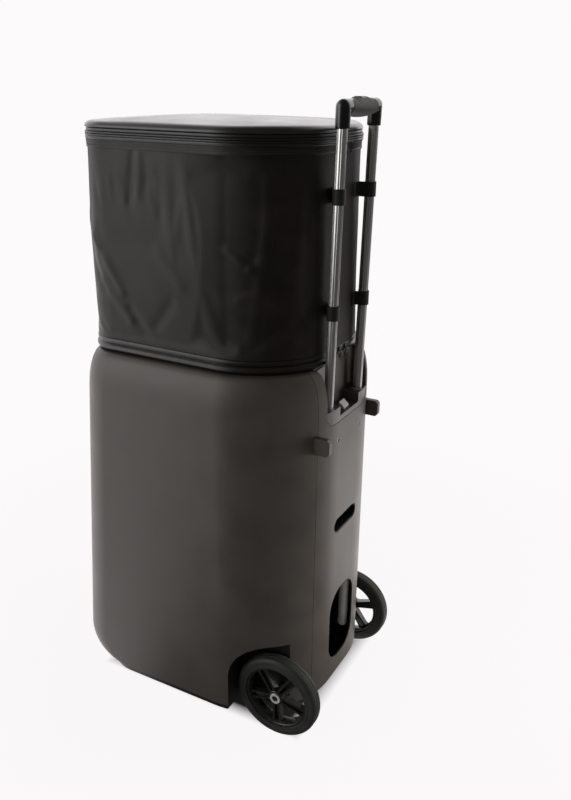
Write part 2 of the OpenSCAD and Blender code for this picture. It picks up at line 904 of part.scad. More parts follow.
module tilt_motor() {
    color(black) on_launcher() rotate([0, 90, 0]) translate([0, 0, bracket_x + bracket_t]) difference() {
        cylinder(r = tilt_motor_r, h = tilt_motor_l);
        translate([0, 0, -over]) cylinder(r = pin_r + run, h = pin_out - bracket_x - bracket_t + 2 * over);
    }
}

module battery() {
    color("#2b3a2f") place() translate([battery_at[0], battery_at[1], body_bottom]) difference() {
        cube(battery_size);
        translate([battery_size[0] / 2, battery_size[1] / 2, battery_size[2]])
            cube(battery_grip, center = true);
    }
}

module control_board() {
    y = control_y - wall - board_off;
    post_r = 3.5;
    inset = 6;
    color("#24513a") place() {
        translate([-board_size[0] / 2, y - board_size[1], control_z - board_size[2] / 2]) cube(board_size);
        for (sx = [-1, 1])
            translate([sx * (control_hw - window_in / 2), y, control_z]) rotate([-90, 0, 0])
                cylinder(r = post_r, h = board_off);
        for (sx = [-1, 1])
            translate([sx > 0 ? board_size[0] / 2 - over : -control_hw, y - board_size[1], control_z - inset])
                cube([control_hw - board_size[0] / 2 + over, board_size[1], 2 * inset]);
    }
}

// Outward axis of a control at a distance along the panel
module on_panel(x, z = 0) {
    place() translate([x, control_y + control_t, control_z + z]) rotate([-90, 0, 0]) children();
}

module control_panel() {
    side_gap = 0.5;
    color("#1f1f1f") difference() {
        place() translate([side_gap - control_hw, control_y, control_z - control_h / 2 + side_gap])
            cube([2 * (control_hw - side_gap), control_t, control_h - 2 * side_gap]);
        on_panel(speed_x) cylinder(r = dial_shaft_r + run, h = far, center = true);
        on_panel(feed_x) cylinder(r = dial_shaft_r + run, h = far, center = true);
        on_panel(inlet_x) cylinder(r = inlet_barrel_r, h = far, center = true);
        on_panel(rocker_x) cube([rocker_w + 4 * gap, 2 * rocker_r + 4 * gap, far], center = true);
    }
}

module charge_inlet() {
    color(black) on_panel(inlet_x) difference() {
        union() {
            cylinder(r = inlet_r, h = 2.5);
            translate([0, 0, -14]) cylinder(r = inlet_barrel_r, h = 14);
        }
        translate([0, 0, -11]) cylinder(r = inlet_bore_r, h = 11 + 2.5 + over);
    }
}

module power_rocker() {
    color("#2a2a2a") on_panel(rocker_x) rotate([0, 90, 0]) difference() {
        cylinder(r = rocker_r, h = rocker_w, center = true);
        translate([-rocker_r - 6, 0, 0]) cube([2 * rocker_r, far, far], center = true);
    }
}

module dial(x) {
    flutes = 12;
    color("#2d2f31") on_panel(x) {
        translate([0, 0, gap]) difference() {
            cylinder(r = dial_r, h = dial_h);
            for (i = [0:flutes - 1]) rotate([0, 0, i * 360 / flutes])
                translate([dial_r + 0.8, 0, -over]) cylinder(r = 1.8, h = far);
        }
        translate([0, 0, -control_t - 4]) cylinder(r = dial_shaft_r, h = control_t + 4 + gap);
    }
}

module hopper_base_band() {
    color(black) place() union() {
        bag_ring(band_out - bead_out, -band_in, body_top + gap, band_h - gap);
        bag_ring(band_out, -band_in, body_top + bead_z, bead_h);
    }
}

module hopper_wall() {
    color(fabric_black) place() bag_ring(0, -bag_t, band_top, rim_z - band_top);
}

module hopper_rim() {
    color(black) place() bag_ring(rim_out, -band_in, rim_z, rim_h);
}

module lid_rim() {
    color(black) place() bag_ring(rim_out, -band_in, lid_z, rim_h);
}

// Ring of the lid at a height above its seat, moved in from the seat's edge
function lid_ring(h, in) = at_height(lid_z + rim_h + h, bag_outline(lid_edge - in));

module hopper_lid() {
    wall_h = lid_h * 0.28;
    edge_h = lid_h * 0.7;
    edge_in = 12;
    crown_in = bag_rear_r - edge_in - 4;
    steps = 4;
    edge_rings = [for (i = [0:steps]) let (a = 90 * i / steps)
        lid_ring(wall_h + (edge_h - wall_h) * sin(a), edge_in * (1 - cos(a)))];
    crown_rings = [for (i = [1:steps]) let (t = i / steps)
        lid_ring(edge_h + (lid_h - edge_h) * (1 - (1 - t) * (1 - t)), edge_in + t * crown_in)];
    color(black) place() loft(concat([lid_ring(0, 0)], edge_rings, crown_rings));
}

module lid_hinge_tape() {
    t = 1.2;
    color(web_black) place() translate([-tape_hw, bag_rear + rim_out + gap, rim_z + 2])
        cube([2 * tape_hw, t, 2 * rim_h - 4]);
}

module strap(side, z) {
    x = side * tube_pitch / 2;
    loop_r = tube_r + 2 * gap;
    rear_hw = 6;
    rear = bag_front_at(tube_pitch / 2 - rear_hw) - 0.05;
    color(web_black) place() translate([x, 0, z - strap_h / 2]) linear_extrude(strap_h) difference() {
        hull() {
            translate([0, tube_y_at(z)]) circle(r = loop_r + strap_t, $fn = 32);
            translate([-rear_hw, rear - strap_t]) square([2 * rear_hw, strap_t]);
        }
        hull() {
            translate([0, tube_y_at(z)]) circle(r = loop_r, $fn = 32);
            translate([strap_t - rear_hw, rear - 2 * strap_t]) square([2 * (rear_hw - strap_t), strap_t]);
        }
    }
}

// Slider on a band's face, with a pull that hangs in front of it
module slider(x, z, face, front) {
    pull_t = 1.6;
    translate([x - 4.5, front - pull_t, z - 4]) cube([9, face - front + pull_t, 8]);
    translate([x - 3, front - pull_t, z - 24]) cube([6, pull_t - 0.1, 21]);
}

module zip_sliders() {
    color(steel) place() for (x = [-12, 12])
        slider(x, band_top - 6, bag_front - band_out + bead_out, bag_front - band_out);
}

module lid_zip_sliders() {
    color(steel) place() for (x = [-12, 12])
        slider(x, rim_top - 4, bag_front - rim_out, bag_front - rim_out - 0.2);
}

module panel_screws() {
    color(steel) place() for (side = [-1, 1])
        translate([side * screw_x, 0.8, screw_z]) rotate([-90, 0, 0]) {
            difference() {
                cylinder(r = screw_r, h = 2.4);
                translate([0, 0, -over]) cylinder(r = 1.6, h = 1.4 + over, $fn = 6);
            }
            translate([0, 0, 2.4]) cylinder(r = shank_r, h = 6);
        }
}

module base_screws() {
    head_h = 2.6;
    color(steel) place() base_screw_places() translate([0, 0, base_z + 4 - head_h]) {
        cylinder(r = screw_r, h = head_h);
        translate([0, 0, head_h]) cylinder(r = shank_r, h = base_t - 4);
    }
}

body_shell();
front_panel();
base_plate();
rear_foot(-1);  // rear_foot_left
rear_foot(1);  // rear_foot_right
rest_lug(-1);  // rest_lug_left
rest_lug(1);  // rest_lug_right
handle_socket();
latch_cover();
sleeve(-1);  // sleeve_left
sleeve(1);  // sleeve_right
handle_tube(-1);  // handle_tube_left
handle_tube(1);  // handle_tube_right
handle_grip();
release_button();
axle();
axle_bracket(-1);  // axle_bracket_left
axle_bracket(1);  // axle_bracket_right
wheel_rim(-1);  // wheel_rim_left
wheel_rim(1);  // wheel_rim_right
tyre(-1);  // tyre_left
tyre(1);  // tyre_right
hub_cap(-1);  // hub_cap_left
hub_cap(1);  // hub_cap_right
hand_hold_cup();
hopper_tray();
feeder_disc();
feeder_motor();
drop_tube();
feed_ramp();
launcher_frame();
throw_wheel(-1);  // throw_wheel_left
throw_wheel(1);  // throw_wheel_right
throw_motor(-1);  // throw_motor_left
throw_motor(1);  // throw_motor_right
launcher_bracket(-1);  // launcher_bracket_left
launcher_bracket(1);  // launcher_bracket_right
tilt_motor();
battery();
control_board();
control_panel();
charge_inlet();
power_rocker();
dial(speed_x);  // speed_dial
dial(feed_x);  // feed_dial
hopper_base_band();
hopper_wall();
hopper_rim();
hopper_lid();
lid_rim();
lid_hinge_tape();
strap(-1, strap_high_z);  // strap_upper_left
strap(1, strap_high_z);  // strap_upper_right
strap(-1, strap_low_z);  // strap_lower_left
strap(1, strap_low_z);  // strap_lower_right
zip_sliders();
lid_zip_sliders();
panel_screws();
base_screws();
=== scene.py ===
"""Looks of the trolley ball machine: finishes, soft hopper, handle, wheels, stage, lights and camera.

Metres, +Z up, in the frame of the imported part.
"""

import json
import math

import bmesh
import bpy
from mathutils import Matrix, Vector

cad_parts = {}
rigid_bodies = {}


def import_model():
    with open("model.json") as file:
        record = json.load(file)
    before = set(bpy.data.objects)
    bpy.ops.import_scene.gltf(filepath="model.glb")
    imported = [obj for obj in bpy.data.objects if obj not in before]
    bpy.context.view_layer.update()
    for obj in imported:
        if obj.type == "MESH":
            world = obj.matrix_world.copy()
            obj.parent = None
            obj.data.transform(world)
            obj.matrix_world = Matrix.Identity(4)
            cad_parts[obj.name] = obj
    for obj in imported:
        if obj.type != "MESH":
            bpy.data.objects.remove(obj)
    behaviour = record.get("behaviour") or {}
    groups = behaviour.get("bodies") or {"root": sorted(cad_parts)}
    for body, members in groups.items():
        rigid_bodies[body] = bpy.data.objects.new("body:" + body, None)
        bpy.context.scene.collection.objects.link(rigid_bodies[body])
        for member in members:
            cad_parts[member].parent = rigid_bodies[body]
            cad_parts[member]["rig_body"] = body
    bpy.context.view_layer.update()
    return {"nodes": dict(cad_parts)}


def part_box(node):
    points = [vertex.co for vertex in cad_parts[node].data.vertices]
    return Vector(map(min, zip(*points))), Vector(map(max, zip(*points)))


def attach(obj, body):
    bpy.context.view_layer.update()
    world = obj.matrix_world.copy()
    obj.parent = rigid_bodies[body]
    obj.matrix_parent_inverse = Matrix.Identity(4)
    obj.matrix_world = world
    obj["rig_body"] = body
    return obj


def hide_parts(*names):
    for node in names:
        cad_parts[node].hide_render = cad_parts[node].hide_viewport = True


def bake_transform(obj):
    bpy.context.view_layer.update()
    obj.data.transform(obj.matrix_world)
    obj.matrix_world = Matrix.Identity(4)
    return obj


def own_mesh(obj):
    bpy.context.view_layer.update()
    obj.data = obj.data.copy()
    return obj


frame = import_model()

mm = 0.001
turn = 2 * math.pi
# front plane of the body
front_y = -243.957 * mm


# Selecting and shaping

def only(piece):
    """Selects one piece in object mode."""
    if bpy.context.object and bpy.context.object.mode != "OBJECT":
        bpy.ops.object.mode_set(mode="OBJECT")
    bpy.ops.object.select_all(action="DESELECT")
    if piece:
        piece.select_set(True)
        bpy.context.view_layer.objects.active = piece


def edit(piece):
    """Opens one piece in edit mode, with everything selected."""
    only(piece)
    bpy.ops.object.mode_set(mode="EDIT")
    bpy.ops.mesh.select_all(action="SELECT")


def close_edit():
    """Goes back to object mode."""
    bpy.ops.object.mode_set(mode="OBJECT")


def apply_modifier(piece, kind, **settings):
    """Adds a modifier with its settings and applies it."""
    only(piece)
    modifier = piece.modifiers.new(kind.lower(), kind)
    for name, value in settings.items():
        setattr(modifier, name, value)
    bpy.ops.object.modifier_apply(modifier=modifier.name)


def settle(piece, angle=35):
    """Puts a piece's place into its mesh and shades it smooth up to an angle."""
    only(piece)
    bpy.ops.object.transform_apply(location=True, rotation=True, scale=True)
    bpy.ops.object.shade_smooth_by_angle(angle=math.radians(angle))


def close_shape(piece, reach=0.01 * mm, holes=True):
    """Merges points that lie together, closes open ends and turns all faces outwards."""
    edit(piece)
    bpy.ops.mesh.remove_doubles(threshold=reach)
    if holes:
        bpy.ops.mesh.fill_holes(sides=0)
    bpy.ops.mesh.normals_make_consistent(inside=False)
    close_edit()


def join(pieces, name):
    """Makes several meshes one piece."""
    only(pieces[0])
    for piece in pieces[1:]:
        piece.select_set(True)
    bpy.ops.object.join()
    pieces[0].name = name
    return pieces[0]


def break_edges(piece, width, angle=38, segments=2):
    """Rounds the edges that are sharper than an angle."""
    apply_modifier(
        piece, "BEVEL", width=width, segments=segments, limit_method="ANGLE",
        angle_limit=math.radians(angle), use_clamp_overlap=True)


def finish_piece(piece, body, finish, stands_for=()):
    """Gives a piece its finish and the body that it moves with."""
    piece.data.materials.clear()
    piece.data.materials.append(finish)
    if body:
        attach(piece, body)
    if stands_for:
        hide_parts(*stands_for)
    return piece


def begin(add, name, **settings):
    """Adds a primitive with nothing else selected, as the start of a piece."""
    only(None)
    add(**settings)
    piece = bpy.context.object
    piece.name = name
    return piece


def grid(name, columns, rows):
    """Flat grid from -1 to 1, to be shaped point by point."""
    add = bpy.ops.mesh.primitive_grid_add
    return begin(add, name, x_subdivisions=columns, y_subdivisions=rows, size=2, calc_uvs=True)


def sweep(name, stations, across, sides=32, dip=None):
    """Closed tube through stations of (point, radius); across is a direction that stays in every section.
    dip(angle) takes some of the radius away."""
    rows = len(stations) - 1
    piece = grid(name, sides, rows)
    for vertex in piece.data.vertices:
        angle = (vertex.co.x + 1) / 2 * turn
        row = round((vertex.co.y + 1) / 2 * rows)
        point, radius = stations[row]
        run = stations[min(row + 1, rows)][0] - stations[max(row - 1, 0)][0]
        up = run.normalized().cross(across)
        if dip:
            radius -= dip(angle)
        vertex.co = point + (across * math.cos(angle) + up * math.sin(angle)) * radius
    close_shape(piece)
    return piece


def turned(name, profile, centre, side, segments=96):
    """Shape turned about an axle: profile points are (outwards along the axle, radius) in millimetres."""
    rows = len(profile) - 1
    piece = grid(name, segments, rows)
    for vertex in piece.data.vertices:
        angle = (vertex.co.x + 1) / 2 * turn
        along, radius = profile[round((vertex.co.y + 1) / 2 * rows)]
        spot = Vector((side * along, radius * math.cos(angle), radius * math.sin(angle)))
        vertex.co = centre + spot * mm
    close_shape(piece, holes=False)
    return piece


def block(name, shape, cuts=6):
    """Cube cut into strips, each point then placed by shape(u, v, w) with all three from -1 to 1."""
    piece = begin(bpy.ops.mesh.primitive_cube_add, name, size=2)
    edit(piece)
    bpy.ops.mesh.subdivide(number_cuts=cuts)
    close_edit()
    for vertex in piece.data.vertices:
        vertex.co = shape(*vertex.co)
    close_shape(piece, holes=False)
    return piece


def stamp(model, places, name):
    """One piece made of copies of a modelled piece, each at its place."""
    count = len(model.data.vertices)
    points = [place @ vertex.co for place in places for vertex in model.data.vertices]
    faces = [
        [index + count * number for index in face.vertices]
        for number in range(len(places)) for face in model.data.polygons]
    mesh = bpy.data.meshes.new(name)
    mesh.from_pydata(points, [], faces)
    piece = bpy.data.objects.new(name, mesh)
    bpy.context.collection.objects.link(piece)
    bpy.data.objects.remove(model)
    settle(piece, 50)
    return piece


def roll(centre_out, centre_z, half_out, half_z, start, end, steps):
    """Points of an elliptic roll from one angle to another, in degrees up from the outward direction."""
    angles = [math.radians(start + (end - start) * i / steps) for i in range(steps + 1)]
    return [(centre_out + half_out * math.cos(a), centre_z + half_z * math.sin(a)) for a in angles]


def ease(value):
    """Smooth step from 0 to 1."""
    value = min(max(value, 0), 1)
    return value * value * (3 - 2 * value)


# Materials

def linear(colour):
    """Linear RGBA of an sRGB hex colour."""
    parts = [int(colour[i:i + 2], 16) / 255 for i in (1, 3, 5)]
    return [c / 12.92 if c <= 0.04045 else ((c + 0.055) / 1.055) ** 2.4 for c in parts] + [1.0]


def connect(tree, node, inputs):
    """Pairs each socket with a value, an output, or a node, which gives its first output."""
    for socket, value in inputs.items():
        if isinstance(value, bpy.types.Node):
            value = value.outputs[0]
        if isinstance(value, bpy.types.NodeSocket):
            tree.links.new(value, node.inputs[socket])
        else:
            node.inputs[socket].default_value = value


def add_node(tree, kind, inputs=None, **settings):
    """Adds a node with its settings and what goes into its sockets."""
    node = tree.nodes.new("ShaderNode" + kind)
    for name, value in settings.items():
        setattr(node, name, value)
    connect(tree, node, inputs or {})
    return node


def start_material(name, sockets):
    """A new material whose shader has these constant values on its own sockets."""
    material = bpy.data.materials.new(name)
    material.use_nodes = True
    tree = material.node_tree
    shader = tree.nodes["Principled BSDF"]
    connect(tree, shader, sockets)
    return material, tree, shader


def set_stops(ramp, stops):
    """Colour stops of a ramp, as pairs of place and hex colour."""
    while len(ramp.color_ramp.elements) < len(stops):
        ramp.color_ramp.elements.new(0.5)
    for element, (place, colour) in zip(ramp.color_ramp.elements, stops):
        element.position = place
        element.color = linear(colour)
    return ramp


def mottle(tree, shader, dark, light, size, roughness, spread):
    """Soft patches of two near colours, a size across, with the gloss varying a little with them."""
    place = add_node(tree, "TexCoord").outputs["Object"]
    patches = add_node(tree, "TexNoise", {"Vector": place, "Scale": 1 / size, "Detail": 4.0}).outputs["Fac"]
    tone = set_stops(add_node(tree, "ValToRGB", {"Fac": patches}), [(0.35, dark), (0.65, light)])
    gloss = add_node(tree, "MapRange", {
        "Value": patches, "From Min": 0.3, "From Max": 0.7,
        "To Min": roughness - spread, "To Max": roughness + spread})
    connect(tree, shader, {"Base Color": tone, "Roughness": gloss})
    return place


def grain(tree, shader, place, size, depth, strength):
    """Fine moulded grain of a size and depth."""
    pebble = add_node(tree, "TexVoronoi", {"Vector": place, "Scale": 1 / size}).outputs["Distance"]
    bump = add_node(tree, "Bump", {"Height": pebble, "Distance": depth, "Strength": strength})
    connect(tree, shader, {"Normal": bump})


def moulded_plastic(name, dark, light, roughness, grain_size=1.1 * mm, strength=0.25):
    """Moulded plastic: an even matt skin with a fine eroded grain.
    The real grain is about 0.3 mm, drawn coarser so that it shows."""
    material, tree, shader = start_material(name, {"IOR": 1.5})
    place = mottle(tree, shader, dark, light, 70 * mm, roughness, 0.04)
    grain(tree, shader, place, grain_size, 0.08 * mm, strength)
    return material


def soft_rubber(name, dark, light):
    """Moulded rubber: dull, slightly dusty in patches.
    The real skin is as fine as 0.2 mm, drawn coarser so that it shows."""
    material, tree, shader = start_material(name, {"IOR": 1.52, "Sheen Weight": 0.05})
    place = mottle(tree, shader, dark, light, 24 * mm, 0.66, 0.07)
    grain(tree, shader, place, 0.9 * mm, 0.06 * mm, 0.3)
    return material


def drawn_aluminium():
    """Anodised aluminium tube: satin, with fine die lines along its length."""
    material, tree, shader = start_material("anodised_drawn_aluminium", {"Metallic": 1.0})
    place = add_node(tree, "TexCoord").outputs["Object"]
    # die lines about 0.7 mm apart and 150 mm long
    stretch = add_node(tree, "Mapping", {"Vector": place, "Scale": (1400.0, 1400.0, 6.0)})
    lines = add_node(tree, "TexNoise", {"Vector": stretch, "Scale": 1.0, "Detail": 2.0}).outputs["Fac"]
    tone = set_stops(add_node(tree, "ValToRGB", {"Fac": lines}), [(0.3, "#d2d1ce"), (0.7, "#e4e3e0")])
    gloss = add_node(tree, "MapRange", {"Value": lines, "To Min": 0.24, "To Max": 0.34})
    connect(tree, shader, {"Base Color": tone, "Roughness": gloss})
    return material


def plated_steel(name, dark, light, roughness):
    """Zinc or chrome plated steel: bright, with cloudy plating."""
    material, tree, shader = start_material(name, {"Metallic": 1.0})
    mottle(tree, shader, dark, light, 9 * mm, roughness, 0.06)
    return material


def silver_paint():
    """Silver paint on moulded plastic: aluminium flakes in a clear binder, bright from every side.
    The flakes are too fine to show, so only the cloudy spray is drawn."""
    material, tree, shader = start_material("silver_paint_on_plastic", {"Metallic": 0.55})
    mottle(tree, shader, "#d9d8d2", "#e6e5df", 6 * mm, 0.38, 0.05)
    return material


def weave(tree, shader, thread, depth, strength):
    """Plain weave along the piece's own UV map, which is in metres."""
    place = add_node(tree, "TexCoord").outputs["UV"]
    # a wave texture makes one band for each pi / 10 of a unit
    bands = math.pi / 10 / thread
    warp = add_node(tree, "TexWave", {"Vector": place, "Scale": bands}, bands_direction="X").outputs["Fac"]
    weft = add_node(tree, "TexWave", {"Vector": place, "Scale": bands}, bands_direction="Y").outputs["Fac"]
    cross = add_node(tree, "Math", {0: warp, 1: weft}, operation="MULTIPLY")
    bump = add_node(tree, "Bump", {"Height": cross, "Distance": depth, "Strength": strength})
    connect(tree, shader, {"Normal": bump})


def woven_polyester():
    """Coated polyester cloth: black-brown, a soft gloss from its coating, fine plain weave.
    The real threads are about 0.4 mm apart, drawn at 1.4 mm so that they show."""
    material, tree, shader = start_material("coated_woven_polyester", {"IOR": 1.36})
    mottle(tree, shader, "#15110e", "#1c1714", 45 * mm, 0.48, 0.05)
    weave(tree, shader, 1.4 * mm, 0.1 * mm, 0.3)
    return material


def nylon_webbing():
    """Woven nylon tape: black, with ribs across it 2 mm apart."""
    material, tree, shader = start_material("woven_nylon_webbing", {"IOR": 1.53, "Sheen Weight": 0.06})
    mottle(tree, shader, "#0b0b0a", "#111010", 20 * mm, 0.66, 0.05)
    weave(tree, shader, 2.0 * mm, 0.25 * mm, 0.6)
    return material


# dull charcoal, with a broad soft highlight
body_plastic = moulded_plastic("moulded_polyethylene_charcoal", "#3d3834", "#443f3a", 0.48, strength=0.1)
# black and half matt
black_plastic = moulded_plastic("moulded_nylon_black", "#131313", "#1b1b1a", 0.42)
# black, with clear highlights along its ribs
wheel_plastic = moulded_plastic("moulded_nylon_satin_black", "#191917", "#22221f", 0.28, strength=0.1)
# as dark as the body, a little glossier
socket_plastic = moulded_plastic("moulded_abs_dark_grey", "#38332f", "#403b37", 0.4, strength=0.12)
# black and dull
inner_plastic = moulded_plastic("moulded_polypropylene_black", "#151514", "#1e1d1c", 0.5)
# pale grey, half matt
pale_plastic = moulded_plastic("moulded_abs_pale_grey", "#84827e", "#908e8a", 0.42)
# deep black with a narrow highlight
grip_plastic = moulded_plastic("moulded_nylon_gloss_black", "#101010", "#171716", 0.24, strength=0.1)
# soft to the touch: brownish black without a clear highlight
sleeve_plastic = moulded_plastic("soft_touch_elastomer", "#262523", "#2e2c29", 0.62)
tyre_rubber = soft_rubber("moulded_rubber", "#1b1c17", "#24261f")
# grey and dull
wheel_foam = soft_rubber("cast_urethane", "#7d7b77", "#8b8984")
aluminium = drawn_aluminium()
# smoky dark metal
dark_nickel = plated_steel("black_nickel_plating", "#3c3c3d", "#4a4a4b", 0.4)
# bluish grey metal
zinc = plated_steel("zinc_plated_steel", "#84878a", "#9a9da0", 0.36)
silver = silver_paint()
cloth = woven_polyester()
webbing = nylon_webbing()
# black, with an oily highlight along the cord
piping_vinyl = moulded_plastic("coated_vinyl_piping", "#0e0c0a", "#13110f", 0.42, 1.6 * mm, 0.15)
# smooth skin over foam: black, and pale where it mirrors the backdrop
lid_foam = moulded_plastic("moulded_foam_with_cloth_skin", "#181716", "#1f1e1d", 0.32, 1.3 * mm, 0.04)
# napped and dull
lining = moulded_plastic("brushed_nylon_lining", "#242322", "#2c2a29", 0.7, 1.5 * mm, 0.4)
# a shade paler than the cloth, dull
thread = moulded_plastic("spun_polyester_thread", "#2a2826", "#34312f", 0.6, 0.8 * mm, 0.5)
# green lacquer over glass cloth
board_green = moulded_plastic("glass_epoxy_board", "#1d4a33", "#27573d", 0.35)


# Dressed copies of hard parts

def copy_of(node, name):
    """Own copy of a node's mesh, with its loose triangles merged."""
    source = frame["nodes"][node]
    only(source)
    bpy.ops.object.duplicate()
    piece = bpy.context.object
    bpy.ops.object.parent_clear(type="CLEAR")
    for key in list(piece.keys()):
        del piece[key]
    piece.name = name
    edit(piece)
    bpy.ops.mesh.remove_doubles(threshold=0.005 * mm)
    bpy.ops.mesh.dissolve_limited(angle_limit=math.radians(0.3))
    close_edit()
    return piece


def dress(node, finish, edge=0.5, sharp=38):
    """Copy of a hard node with its sharp edges broken, which stands for the node."""
    piece = copy_of(node, node + "_dressed")
    if edge:
        break_edges(piece, edge * mm, sharp)
    only(piece)
    bpy.ops.object.shade_smooth_by_angle(angle=math.radians(sharp))
    apply_modifier(piece, "WEIGHTED_NORMAL", keep_sharp=True)
    return finish_piece(piece, frame["nodes"][node]["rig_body"], finish, stands_for=[node])


def paint_wheel_well_shade(piece):
    """Paints the inside of both wheel arches with the black inner finish, as painted shade in the arches."""
    piece.data.materials.append(inner_plastic)
    well_x, well_y, well_z = 148 * mm, front_y + 146 * mm, 200 * mm
    for face in piece.data.polygons:
        spot = face.center
        inside = abs(spot.x) > well_x and spot.y < well_y and spot.z < well_z
        outer = abs(face.normal.x) > 0.5 and abs(spot.x) > well_x + 5 * mm
        front = face.normal.y < -0.3 and spot.y < front_y + 120 * mm
        if inside and not outer and not front:
            face.material_index = 1


# finish and width of the broken edges in millimetres
hard_parts = {
    "body_shell": (body_plastic, 1.0),
    "front_panel": (body_plastic, 0.8),
    "base_plate": (black_plastic, 0.8),
    "handle_socket": (socket_plastic, 0.8),
    "latch_cover": (pale_plastic, 0.8),
    "hand_hold_cup": (black_plastic, 0.5),
    "control_panel": (black_plastic, 0.5),
    "speed_dial": (grip_plastic, 0.5),
    "feed_dial": (grip_plastic, 0.5),
    "power_rocker": (grip_plastic, 0.6),
    "charge_inlet": (black_plastic, 0.4),
    "panel_screws": (zinc, 0.3),
    "base_screws": (zinc, 0.3),
}
for side_name in ("left", "right"):
    hard_parts["rest_lug_" + side_name] = (body_plastic, 1.8)
    hard_parts["sleeve_" + side_name] = (silver, 0.2)
    hard_parts["rear_foot_" + side_name] = (tyre_rubber, 1.0)
for node_name, (part_finish, edge_width) in hard_parts.items():
    dressed = dress(node_name, part_finish, edge_width)
    # the body's wheel arches get painted shade
    if node_name == "body_shell":
        paint_wheel_well_shade(dressed)


inner_parts = {
    "axle": zinc, "hopper_tray": inner_plastic, "feeder_disc": socket_plastic, "feeder_motor": zinc,
    "drop_tube": inner_plastic, "feed_ramp": inner_plastic, "launcher_frame": inner_plastic,
    "tilt_motor": inner_plastic, "battery": black_plastic, "control_board": board_green,
}
for side_name in ("left", "right"):
    inner_parts["throw_wheel_" + side_name] = wheel_foam
    for node_name in ("axle_bracket_", "throw_motor_", "launcher_bracket_"):
        inner_parts[node_name + side_name] = zinc
for node_name, part_finish in inner_parts.items():
    mesh = frame["nodes"][node_name].data
    mesh.materials.clear()
    mesh.materials.append(part_finish)


# Handle grip and push button

# sizes in millimetres, heights up along the leaning tubes
handle_lean = math.radians(1.07)
handle_foot = Vector((0, front_y + 14.6 * mm, 640 * mm))
handle_tilt = Matrix.Rotation(handle_lean, 3, "X")
handle_across = handle_tilt @ Vector((0, 1, 0))
tube_x = 63.35
tube_r = 8.75
grip_low = 496.7
grip_high = 541.7
elbow_r = 12.3
barrel_r = 14.7


def in_handle(x, y, z):
    """Point in the leaning frame of the handle, from millimetres."""
    return handle_foot + handle_tilt @ Vector((x, y, z)) * mm


def make_tube(name, side):
    """Drawn tube with pairs of shallow grooves along it."""
    stations = []
    for z, less in ((-40, 0.6), (-39.6, 0.1), (-39, 0), (120, 0), (280, 0), (400, 0), (518.7, 0)):
        stations.append((in_handle(side * tube_x, 0, z), (tube_r - less) * mm))

    def dip(angle):
        away = abs((math.degrees(angle) + 30) % 60 - 30)
        return 0.55 * mm * max(0, 1 - ((away - 10) / 5.5) ** 2)

    piece = sweep(name + "_drawn", stations, handle_across, 180, dip)
    settle(piece, 60)
    finish_piece(piece, "handle", aluminium, stands_for=[name])


make_tube("handle_tube_left", -1)
make_tube("handle_tube_right", 1)


def make_grip():
    """Two elbows with tight round corners and the bar between them, melted into one moulding."""
    bar_z = grip_high - elbow_r
    leg = [(grip_low, 11.0), (grip_low + 0.5, 11.6), (grip_low + 2, 11.8), (grip_low + 20, 12.2)]
    leg += [(bar_z, elbow_r)]
    shapes = []
    for side in (-1, 1):
        x = side * tube_x
        stations = [(in_handle(x, 0, z), r * mm) for z, r in leg]
        shapes.append(sweep("elbow_leg", stations, handle_across, 40))
        add = bpy.ops.mesh.primitive_uv_sphere_add
        corner = begin(add, "elbow_corner", segments=40, ring_count=24, radius=elbow_r * mm)
        edit(corner)
        bpy.ops.transform.translate(value=in_handle(x, 0, bar_z))
        close_edit()
        shapes.append(corner)
    bar = [(-tube_x, elbow_r), (-40, 12.4), (0, 11.6), (40, 12.4), (tube_x, elbow_r)]
    stations = [(in_handle(x, 0, bar_z), r * mm) for x, r in bar]
    shapes.append(sweep("elbow_bar", stations, handle_across, 40))
    piece = join(shapes, "handle_grip_elbows")
    apply_modifier(piece, "REMESH", mode="VOXEL", voxel_size=0.9 * mm)
    apply_modifier(piece, "SMOOTH", factor=0.5, iterations=10)
    settle(piece, 60)
    finish_piece(piece, "handle", grip_plastic, stands_for=["handle_grip"])


def make_barrel():
    """Soft sleeve over the bar, swollen at its middle and raised round the push button."""
    mid_z = grip_high - barrel_r
    end_r = 12.7
    end_round = 2.5
    reach = 51.0
    steps = 60
    stations = []
    for step in range(steps + 1):
        x = -reach + 2 * reach * step / steps
        edge = max(0, (abs(x) - reach + end_round) / end_round)
        radius = end_r + (barrel_r - end_r) * (1 - (x / reach) ** 2) - 0.9 * edge ** 2
        stations.append((in_handle(x, 0, mid_z + 1.9 * (x / reach) ** 2), radius * mm))
    piece = sweep("handle_grip_barrel", stations, handle_across, 48)
    for vertex in piece.data.vertices:
        local = handle_tilt.transposed() @ (vertex.co - handle_foot) / mm
        rise = max(0, (local.z - mid_z) / barrel_r)
        hump = 2.5 * ease((29 - abs(local.x)) / 9) * rise ** 3
        vertex.co = in_handle(local.x, local.y, local.z + hump)
    pocket = copy_of("release_button", "button_pocket")
    low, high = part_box("release_button")
    middle = Vector(((low.x + high.x) / 2, (low.y + high.y) / 2, high.z))
    edit(pocket)
    bpy.ops.transform.resize(value=(1.03, 1.07, 1.45), center_override=middle)
    bpy.ops.transform.translate(value=(0, 0, 1 * mm))
    bpy.ops.mesh.quads_convert_to_tris()
    close_edit()
    apply_modifier(piece, "BOOLEAN", object=pocket, operation="DIFFERENCE", solver="EXACT")
    bpy.data.objects.remove(pocket)
    break_edges(piece, 0.5 * mm, 50)
    settle(piece, 45)
    finish_piece(piece, "handle", sleeve_plastic)


make_grip()
make_barrel()
dress("release_button", grip_plastic, 1.2)


# Wheels

